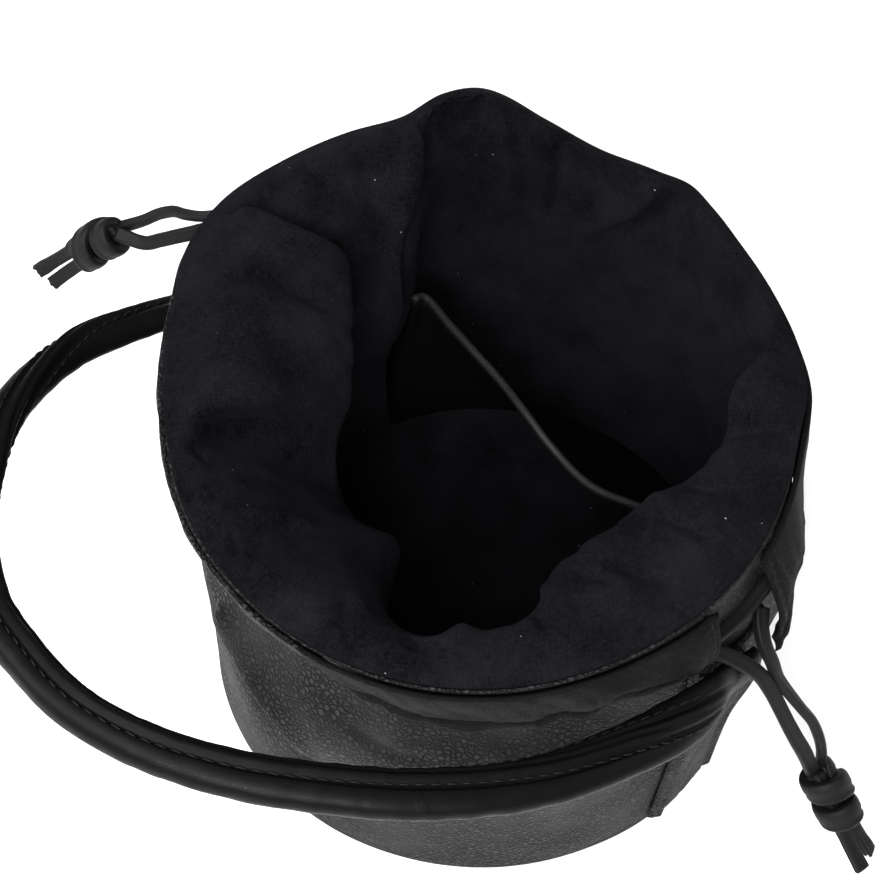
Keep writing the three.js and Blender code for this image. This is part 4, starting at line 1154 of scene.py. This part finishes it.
def base_panel():
    """Round base, slightly hollow underneath, inside the wall's turned foot."""
    angle = np.linspace(-180, 180, 180, endpoint=False)
    edge = wall_at(angle)[0] - FOOT_TUCK - LEATHER - SEAM_GAP
    rows = [polar(angle, edge * share, 0.35 * (1 - share ** 6)) for share in (0.25, 0.5, 0.8, 0.95)]
    rows += [polar(angle, edge - 0.3, 0.1), polar(angle, edge, 0.5)]
    rows += [polar(angle, edge, BASE_THICKNESS - 0.4), polar(angle, edge - 0.5, BASE_THICKNESS)]
    rows += [polar(angle, edge * 0.5, BASE_THICKNESS)]
    rings = np.array(rows)
    return make("base_panel", *capped(rings), PEBBLED, ["base_panel"], "pebbled_leather")


# Strip: rows and columns, and its welts' and sewn grooves' places and spreads as shares of half its
# width, with the groove's depth in millimetres
STRIP_GRID = (110, 81)
WELT_AT = 0.80
WELT_SPREAD = 0.085
SEWN_AT = 0.64
SEWN_SPREAD = 0.035
SEWN_DEPTH = 0.35
STRIP_STITCH_INSET = 3


def side_strip(name, centre):
    """Strip over a side seam, with two rolled welts and a stitched groove inside each."""
    half = math.degrees(STRIP_WIDTH / 2 / BASE_RADIUS)
    u = np.linspace(-1, 1, STRIP_GRID[1])
    height = np.linspace(STRIP_FOOT, STRIP_TOP, STRIP_GRID[0])
    angle = centre + half * u[None, :]
    grid_height = np.broadcast_to(height[:, None], STRIP_GRID)
    welt = bell(np.abs(u) - WELT_AT, WELT_SPREAD) * STRIP_WELT
    groove = bell(np.abs(u) - SEWN_AT, SEWN_SPREAD) * SEWN_DEPTH
    edge = np.clip((1 - np.abs(u)) / 0.06, 0, 1) ** 0.5
    low_end = np.clip((height - STRIP_FOOT) / 1.2, 0, 1)[:, None] ** 0.5
    lift = (STRIP_THICKNESS * (0.25 + 0.75 * edge) + welt - groove)[None, :] * (0.3 + 0.7 * low_end)
    lift = lift + 0.25 * rough(u[None, :] * 3, grid_height / 18, 17) * (1 - np.abs(u[None, :]))
    radius = wall_radius(angle, grid_height) + WALL_GAP
    outer = polar(angle, radius + lift, grid_height)
    inner = polar(angle, radius, grid_height)
    points, faces = slab(outer, inner)
    piece = make(name, points, faces, PEBBLED, [name], "pebbled_leather")
    rows = []
    for sign in (-1, 1):
        line = centre + half * SEWN_AT * sign
        at = np.linspace(STRIP_FOOT + STRIP_STITCH_INSET, STRIP_TOP - STRIP_STITCH_INSET, 120)
        off = wall_radius(line, at) + WALL_GAP + STRIP_THICKNESS - 0.3
        outward = np.tile(polar(line, 1.0, 0.0), (len(at), 1))
        rows.append(stitches(polar(line, off, at), outward, *STRIP_STITCH))
    make(f"{name}_stitches", *join(rows), THREAD, slot="smooth_leather")
    return piece


def slab(outer, inner):
    """Points and faces of a closed sheet from two matching grids."""
    rows, columns = outer.shape[:2]
    count = rows * columns
    faces = grid_faces(rows, columns)
    faces += [face[::-1] for face in grid_faces(rows, columns, start=count)]
    edge = list(range(columns))
    edge += [i * columns + columns - 1 for i in range(1, rows)]
    edge += [(rows - 1) * columns + j for j in reversed(range(columns - 1))]
    edge += [i * columns for i in reversed(range(1, rows - 1))]
    for a, b in zip(edge, edge[1:] + edge[:1]):
        faces.append([b, a, a + count, b + count])
    points = np.concatenate([outer.reshape(-1, 3), inner.reshape(-1, 3)])
    return points, faced(points, faces)


# Drawcord casings

# Columns a degree, rows up the casing, and where it hugs the wall and takes the wall's leather
CASING_COLUMNS = 1.7
CASING_ROWS = 46
CASING_HUGS = (-121, 150)
# Rolled lip, gathers and hems, in millimetres; the lower seam's place up the casing as a share
CASING_LIP = 1.1
CASING_GATHER = 0.9
GATHERS_ROUND = 24
CASING_SEWN = 0.16
CASING_HEM = 0.5
CASING_END_SEWN = 3.0


def casing(name, start, end, seed):
    """Casing under the rim: its tunnel stands off the wall, and its lower edge is a rolled lip."""
    columns = int((end - start) * CASING_COLUMNS)
    angle = np.linspace(start, end, columns)
    tall, full, flare = np.moveaxis(spline(CASING_FORM, angle, 360), -1, 0)
    v = np.linspace(0, 1, CASING_ROWS)[:, None]
    top = wall_at(angle)[2] - CASING_DROP
    arc = (angle - start) / 6.0
    ragged = CASING_LIP * rough(arc * 1.3, 0.5, seed + 4) * bell(v, 0.25)
    height = top - CASING_HEIGHT * tall * (1 - v) + ragged
    folds = rough(arc[None, :] * 1.5 + v * 1.4, v * 1.2, seed, 0, 3)
    gather = CASING_GATHER * np.sin(np.radians(GATHERS_ROUND * angle))[None, :]
    tunnel = np.sin(math.pi * v) ** 0.8
    sewn = bell(v - CASING_SEWN, 0.04)
    puffed = CASING_TUNNEL + gather + CASING_LIP * folds
    lift = WALL_GAP + full * puffed * tunnel * (1 - 0.75 * sewn)
    lift = lift + CASING_LIP * bell(v, CASING_SEWN / 2) * (1 + 0.5 * folds)
    lift = lift + np.maximum(flare, 0) * BASE_RADIUS * (1 - v)
    ends = np.minimum(angle - start, end - angle) * BASE_RADIUS * math.pi / 180
    hem = bell(ends, 1.3) - bell(ends - CASING_END_SEWN, 0.7)
    lift = lift + CASING_HEM * hem
    edge = 0.45 + 0.55 * np.clip(ends / 0.8, 0, 1) ** 0.5
    thick = CASING_THICKNESS * edge * (0.55 + 0.45 * np.clip(v / 0.04, 0, 1) ** 0.5)
    radius = wall_radius(angle, height)
    outer = polar(angle[None, :], radius + lift + thick, height)
    inner = polar(angle[None, :], radius + np.maximum(lift, 0.1), height)
    piece = make(name, *slab(outer, inner), SOFT, [name], "pebbled_leather")
    piece.data.materials.append(PEBBLED)
    centres = np.empty(len(piece.data.polygons) * 3)
    piece.data.polygons.foreach_get("center", centres)
    turned = np.degrees(np.arctan2(centres[1::3], centres[0::3]))
    hugging = (turned > CASING_HUGS[1]) | (turned < CASING_HUGS[0])
    piece.data.polygons.foreach_set("material_index", hugging.astype(int))
    rows = [stitches(outer[8], unit(outer[8] * (1, 1, 0)), *CASING_STITCH)]
    column = int(CASING_END_SEWN / (BASE_RADIUS * math.pi / 180) * CASING_COLUMNS)
    for k in (column, columns - 1 - column):
        line = outer[10:, k]
        rows.append(stitches(line, unit(line * (1, 1, 0)), *CASING_END_STITCH))
    make(f"{name}_stitches", *join(rows), THREAD, slot="smooth_leather")
    return piece


# Lining

LINING_AROUND = 600
LINING_STEPS = (14, 30, 40, 24, 8, 5)     # rows between two rows of the lining's profile


def lining_profile(angle):
    """The lining's profile at each angle: radii and heights from the rim to the floor."""
    _, rim, top, _, _ = wall_at(angle)
    values = np.moveaxis(spline(LINING_ROWS, angle, 360), -1, 0)
    lip_in, lip_up, crest_in, crest_up, throat, throat_height, wall = values
    seam = top + SEAM_GAP + LINING
    inset = spline(LINING_INSET, angle, 360)[..., 0]
    same = np.ones_like(rim)
    radii = [
        rim - inset, rim - lip_in * BASE_RADIUS, rim - crest_in * BASE_RADIUS, throat * BASE_RADIUS,
        wall * BASE_RADIUS, LINING_HEM[0] * BASE_RADIUS * same, LINING_FLOOR[0] * BASE_RADIUS * same,
    ]
    heights = [
        seam, seam + lip_up * RIM_HEIGHT, seam + crest_up * RIM_HEIGHT, throat_height * RIM_HEIGHT,
        LINING_WALL * RIM_HEIGHT * same, LINING_HEM[1] * RIM_HEIGHT * same,
        LINING_FLOOR[1] * RIM_HEIGHT * same,
    ]
    return np.stack(radii, -1), np.stack(heights, -1)


def lining_at(angle, place):
    """Radius, height and run down the lining, at angles and at places in its profile."""
    radii, heights = lining_profile(angle)
    steps = np.hypot(np.diff(radii, axis=-1), np.diff(heights, axis=-1))
    run = np.concatenate([np.zeros_like(steps[..., :1]), np.cumsum(steps, -1)], -1)
    k = np.clip(place.astype(int), 0, len(LINING_STEPS) - 1)
    first = np.take_along_axis(run, k[..., None], -1)[..., 0]
    last = np.take_along_axis(run, k[..., None] + 1, -1)[..., 0]
    at = first + (last - first) * (place - k)
    return column_spline(run, radii, at), column_spline(run, heights, at), at


def lining_columns(angle):
    """Radius and height down the lining, rows first, with the row's place in the profile."""
    place = np.concatenate([
        np.linspace(k, k + 1, count, endpoint=False) for k, count in enumerate(LINING_STEPS)
    ] + [[len(LINING_STEPS)]])
    angles, places = np.broadcast_arrays(angle[None, :], place[:, None])
    radius, height, at = lining_at(angles, places)
    return radius, height, place, at


def lining_points(angle, place):
    radius, height, _ = lining_at(np.asarray(angle, float), np.asarray(place, float))
    return polar(angle, radius, height)


def lining_radius(angle, height):
    """Radius of the lining's face at a height under its throat."""
    radius, up, place, _ = lining_columns(np.array([angle], float))
    low = place >= 2.6
    return float(np.interp(height, up[low, 0][::-1], radius[low, 0][::-1]))


def lining():
    """Lining from its hem over the lip and the throat to the floor, in place of both its solids."""
    angle = np.linspace(-180, 180, LINING_AROUND, endpoint=False)
    radius, height, place, run = lining_columns(angle)
    face = polar(angle[None, :], radius, height)
    normal = normals_of(face, closed=True)
    normal = normal * np.sign((normal[5] * polar(angle, 1.0, 4.0)).sum())
    arc = (angle[None, :] + 180) / 360
    wrinkle = 0.75 * rough(arc * 34, run / 30, 11, 34, 3) + 0.30 * rough(arc * 90, run / 7, 19, 90, 2)
    wrinkle = wrinkle + crease_lift(LINING_FOLDS, lining_points, face, normal)
    fade = smooth_step(0, 0.6, place)[:, None] * (1 - smooth_step(3.6, 4.6, place))[:, None]
    face = face + normal * (wrinkle * fade)[..., None]
    floor = BASE_THICKNESS + SEAM_GAP + LINING
    rings = [polar(angle, share * BASE_RADIUS, floor) for share in (0.6, 0.4, 0.2)]
    grid = np.concatenate([face, np.array(rings)])
    back_rows = np.concatenate([np.arange(0, len(face), 6), [len(face) - 1]])
    normal = normals_of(grid, closed=True)
    sign = np.sign((normal[5] * polar(angle, 1.0, 4.0)).sum())
    back = grid[back_rows] - sign * normal[back_rows] * LINING
    back[0] = grid[0] - np.array([0, 0, LINING])
    back_rings = [ring - np.array([0, 0, LINING]) for ring in rings]
    loop = np.concatenate([grid, np.array(back_rings[::-1]), back[::-1]])
    points, faces = ring_solid_with_floor(loop, len(grid))
    piece = make("lining", points, faces, FABRIC, ["lining", "lining_base"], "lining_fabric")
    cloth = np.zeros((len(points), 3))
    down = np.concatenate([run, run[-1:] + np.array([[13.0], [30.0], [47.0]])])
    rows = len(grid)
    cloth[:rows * LINING_AROUND, 0] = np.tile(arc.ravel() * 2 * math.pi * BASE_RADIUS, rows)
    cloth[:rows * LINING_AROUND, 1] = down.ravel()
    lay_cloth(piece.data, cloth, 2 * math.pi * BASE_RADIUS)
    return piece


def lay_cloth(data, cloth, around):
    """Cloth coordinates at the face corners, without a jump where the angles close on themselves."""
    corners = np.empty(len(data.loops), int)
    data.loops.foreach_get("vertex_index", corners)
    starts = np.empty(len(data.polygons), int)
    data.polygons.foreach_get("loop_start", starts)
    sizes = np.diff(np.append(starts, len(corners)))
    values = cloth[corners]
    low = np.repeat(np.minimum.reduceat(values[:, 0], starts), sizes)
    high = np.repeat(np.maximum.reduceat(values[:, 0], starts), sizes)
    closing = (high - low > around / 2) & (values[:, 0] < around / 2) & (np.repeat(sizes, sizes) == 4)
    values[closing, 0] += around
    layer = data.attributes.new("cloth", "FLOAT_VECTOR", "CORNER")
    layer.data.foreach_set("vector", values.ravel())


def ring_solid_with_floor(loop, floor_row):
    """A closed band whose inner ring pair is filled in as the floor's two faces."""
    rows, columns = loop.shape[:2]
    faces = grid_faces(floor_row, columns, close_columns=True)
    faces += [[(floor_row - 1) * columns + j for j in range(columns)]]
    faces += grid_faces(rows - floor_row, columns, close_columns=True, start=floor_row * columns)
    faces += [[floor_row * columns + j for j in reversed(range(columns))]]
    last = (rows - 1) * columns
    for j in range(columns):
        k = (j + 1) % columns
        faces.append([last + j, last + k, k, j])
    return loop.reshape(-1, 3), faced(loop, faces)


# Slip pocket

def pocket_mouth():
    seat = BINDING_RADIUS + 2 * SEAM_GAP
    ends = [
        polar(angle, lining_radius(angle, height) - seat, height)
        for angle, height in (POCKET_LEFT, POCKET_RIGHT)
    ]
    middle = np.array(POCKET_MOUTH) * (BASE_RADIUS, BASE_RADIUS, RIM_HEIGHT)
    return catmull(np.vstack([ends[0], middle, ends[1]]), 12)


# share of the binding's radius that its fine leather edge shows
BINDING_SHOWN = 0.68


def pocket():
    """Slip pocket's panel, and the thin binding along its mouth."""
    mouth = spaced(pocket_mouth(), 97)
    tangent = unit(np.gradient(mouth, axis=0))
    drop = (BINDING_RADIUS + 0.1) / np.sqrt(1 - tangent[:, 2] ** 2)
    top = mouth - np.array([0, 0, 1]) * drop[:, None]
    angles = np.linspace(POCKET_LEFT[0], POCKET_RIGHT[0], 97)
    seat = SEAM_GAP + POCKET_THICKNESS / 2 + 0.4
    foot = np.array([
        polar(a, lining_radius(a, POCKET_FOOT) - seat, POCKET_FOOT) for a in angles
    ])
    v = np.linspace(0, 1, 50)[:, None, None]
    grid = top[None] * (1 - v) + foot[None] * v
    for k in (0, -1):
        grid[:, k] = [
            polar(angles[k], lining_radius(angles[k], z) - seat, z) for z in grid[:, k, 2]
        ]
    u = np.linspace(0, 1, 97)[None, :]
    sag = np.sin(math.pi * u) * np.sin(math.pi * v[..., 0]) * rough(u * 5, v[..., 0] * 3, 23) * 1.2
    normal = normals_of(grid)
    grid = grid + normal * sag[..., None]
    half = POCKET_THICKNESS / 2
    make("pocket_panel", *slab(grid + normal * half, grid - normal * half), PANEL,
         ["pocket_panel"], "lining_fabric")
    _, across, up = carried_frame(mouth, (0, 0, 1))
    turn = np.linspace(0, 2 * math.pi, 16, endpoint=False)
    count = len(mouth)
    ribs = 1 + 0.05 * noise(np.linspace(0, 150, count), 0.5, 29)
    radius = BINDING_RADIUS * BINDING_SHOWN * ribs
    sections = np.stack([np.cos(turn)[None] * radius[:, None], np.sin(turn)[None] * radius[:, None]], -1)
    make("pocket_binding", *tube(mouth, sections, across, up), BINDING,
         ["pocket_binding"], "smooth_leather")


# Rolled handle with its stitched flange

HANDLE_COUNT = 420
HANDLE_SIDES = 72
FLANGE = 1.2
FLANGE_HALF = 2.2
# spread and depth of the slit along the flange; place past its edge, spread and depth of its groove
FLANGE_NOTCH = (0.4, 0.7)
FLANGE_FOOT = (0.5, 0.55, 1.3)
FLANGE_STITCHES_OFF = 1.7
HANDLE_OVAL = 0.92
TAB_SAMPLES = 26
# how far the flange leans towards the loop's inside, along the handle from the right end
FLANGE_LEAN = [
    # share, degrees
    [0.00, 0], [0.08, 10], [0.22, 34], [0.45, 38], [0.58, 46], [0.68, 54], [0.76, 14], [0.83, -50],
    [0.93, -56], [1.00, 0],
]


def handle_frame():
    """Points, frame and section size along the handle."""
    along = polar(HANDLE_AXIS_AT, 1.0, 0.0)
    tilt = math.radians(HANDLE_TILT)
    out = polar(HANDLE_AXIS_AT - 90, math.cos(tilt), math.sin(tilt))
    centre = np.array([0, 0, HANDLE_HEIGHT])
    thick = HANDLE_TAB["thick"] * HANDLE_THICKNESS

    def tab(angle):
        seat = WALL_GAP + STRIP_THICKNESS + SEAM_GAP + thick / 2
        return polar(angle, wall_radius(angle, HANDLE_TAB["height"]) + seat, HANDLE_TAB["height"])

    def tab_size(turn):
        return [HANDLE_TAB["wide"] * HANDLE_WIDTH, thick, turn]

    points = [tab(a) for a in RIGHT_TAB]
    sizes = [tab_size(HANDLE_TAB["turn"])] * 2
    for a, o, wide, thickness, turn in HANDLE_ROWS:
        points.append(centre + along * a * HANDLE_HALF + out * o * HANDLE_REACH)
        sizes.append([wide * HANDLE_WIDTH, thickness * HANDLE_THICKNESS, turn])
    points += [tab(a) for a in LEFT_TAB]
    sizes += [tab_size(HANDLE_TAB["turn"])] * 2
    steps = 20
    path = catmull(points, steps)
    place = np.linspace(0, 1, len(path))
    rows = np.column_stack([np.linspace(0, 1, len(points)), np.array(sizes)])
    size = spline(rows, place)
    run = run_of(path)
    even = np.linspace(0, run[-1], HANDLE_COUNT)
    size = np.stack([np.interp(even, run, size[:, k]) for k in range(3)], -1)
    path = spaced(path, HANDLE_COUNT)
    normal = np.cross(along, out)
    normal = normal * np.sign(normal[2])
    tangent = unit(np.gradient(path, axis=0))
    side = unit(np.cross(tangent, normal))
    rise = np.cross(side, tangent)
    across, up = rolled(side, rise, size[:, 2])
    return path, across, up, size


def handle():
    """Rolled handle: an oval roll with a notched flange along it and stitches beside the flange."""
    path, across, up, size = handle_frame()
    turn = np.linspace(0, 2 * math.pi, HANDLE_SIDES, endpoint=False) + math.pi / HANDLE_SIDES
    wide, thick, roll = size[:, 0:1], size[:, 1:2], size[:, 2:3]
    share = np.linspace(0, 1, HANDLE_COUNT)[:, None]
    lean = spline(FLANGE_LEAN, share[:, 0])[:, 0] * np.cos(np.radians(size[:, 2])) ** 2
    lean_c, lean_s = np.cos(np.radians(lean))[:, None], np.sin(np.radians(lean))[:, None]

    def oval(phi):
        c, s = np.cos(phi), np.sin(phi)
        x = wide / 2 * np.sign(c) * np.abs(c) ** HANDLE_OVAL
        y = thick / 2 * np.sign(s) * np.abs(s) ** HANDLE_OVAL
        return x, y

    flat = np.cos(np.radians(roll))
    x, y = oval(turn[None] - np.radians(lean)[:, None])
    # coordinates along and across the flange
    u, v = x * lean_c - y * lean_s, x * lean_s + y * lean_c
    top = np.exp(-((u / FLANGE_HALF) ** 6)) * (v > 0)
    notch = bell(u, FLANGE_NOTCH[0]) * (v > 0) * FLANGE_NOTCH[1]
    off, spread, depth = FLANGE_FOOT
    foot = bell(np.abs(u) - FLANGE_HALF - off, spread) * (v > 0) * depth
    v = v + (FLANGE * top - notch * top - foot) * flat
    crease = 0.06 * rough(share * 90, np.cos(turn)[None] * 1.5 + 3, 51)
    x, y = u * lean_c + v * lean_s, v * lean_c - u * lean_s
    sections = np.stack(np.broadcast_arrays(x * (1 + crease * 0.4), y * (1 + crease * 0.4)), -1)
    piece = make("handle", *tube(path, sections, across, up), SMOOTH, ["handle"], "smooth_leather")
    rows = []
    keep = slice(TAB_SAMPLES, HANDLE_COUNT - TAB_SAMPLES)
    stitches_at = FLANGE_HALF + FLANGE_STITCHES_OFF
    for sign in (-1, 1):
        off = np.degrees(np.arcsin(np.clip(stitches_at / (size[:, 0] / 2), 0, 1))) * sign
        x, y = oval(np.radians(90 - lean - off)[:, None])
        line = path + across * x + up * y
        outward = unit(across * x + up * y)
        rows.append(stitches(line[keep], outward[keep], *HANDLE_STITCH, slant=6 * sign))
    make("handle_stitches", *join(rows), THREAD, slot="smooth_leather")
    return piece


# Floor and light

def floor():
    size = 3.0
    data = bpy.data.meshes.new("floor")
    data.from_pydata(
        [(-size, -size, 0), (size, -size, 0), (size, size, 0), (-size, size, 0)], [], [(0, 1, 2, 3)],
    )
    data.materials.append(floor_material("floor"))
    made = bpy.data.objects.new("floor", data)
    bpy.context.scene.collection.objects.link(made)


LIGHTS = [
    # name, place in metres, size, watts
    ("overhead", (-0.45, -0.50, 1.40), 1.10, 22.0),
    ("left", (-1.25, -0.20, 1.00), 0.80, 20.0),
    ("right", (1.30, 0.10, 0.70), 0.80, 4.0),
    ("front", (-0.10, -1.10, 1.15), 0.60, 34.0),
]


LIGHT_TARGET = (0.0, 0.0, 0.08)
WORLD_STRENGTH = 0.28


def lights():
    for name, place, size, watts in LIGHTS:
        data = bpy.data.lights.new(name, "AREA")
        data.shape = "SQUARE"
        data.size = size
        data.energy = watts
        made = bpy.data.objects.new(name, data)
        made.location = place
        aim = np.array(LIGHT_TARGET) - np.array(place)
        made.rotation_euler = (
            math.acos(-aim[2] / np.linalg.norm(aim)), 0, math.atan2(aim[1], aim[0]) - math.pi / 2,
        )
        bpy.context.scene.collection.objects.link(made)
    world = bpy.data.worlds.new("studio")
    world.use_nodes = True
    world.node_tree.nodes["Background"].inputs["Color"].default_value = (1, 1, 1, 1)
    world.node_tree.nodes["Background"].inputs["Strength"].default_value = WORLD_STRENGTH
    bpy.context.scene.world = world
    bpy.context.scene.view_settings.view_transform = "Standard"


camera()
cords()
base_panel()
body_shell()
side_strip("side_strip_right", RIGHT_STRIP_AT)
side_strip("side_strip_left", LEFT_STRIP_AT)
casing("casing_front", LEFT_GAP[1] - 360, RIGHT_GAP[0], 61)
casing("casing_back", RIGHT_GAP[1], LEFT_GAP[0], 67)
lining()
pocket()
handle()
floor()
lights()
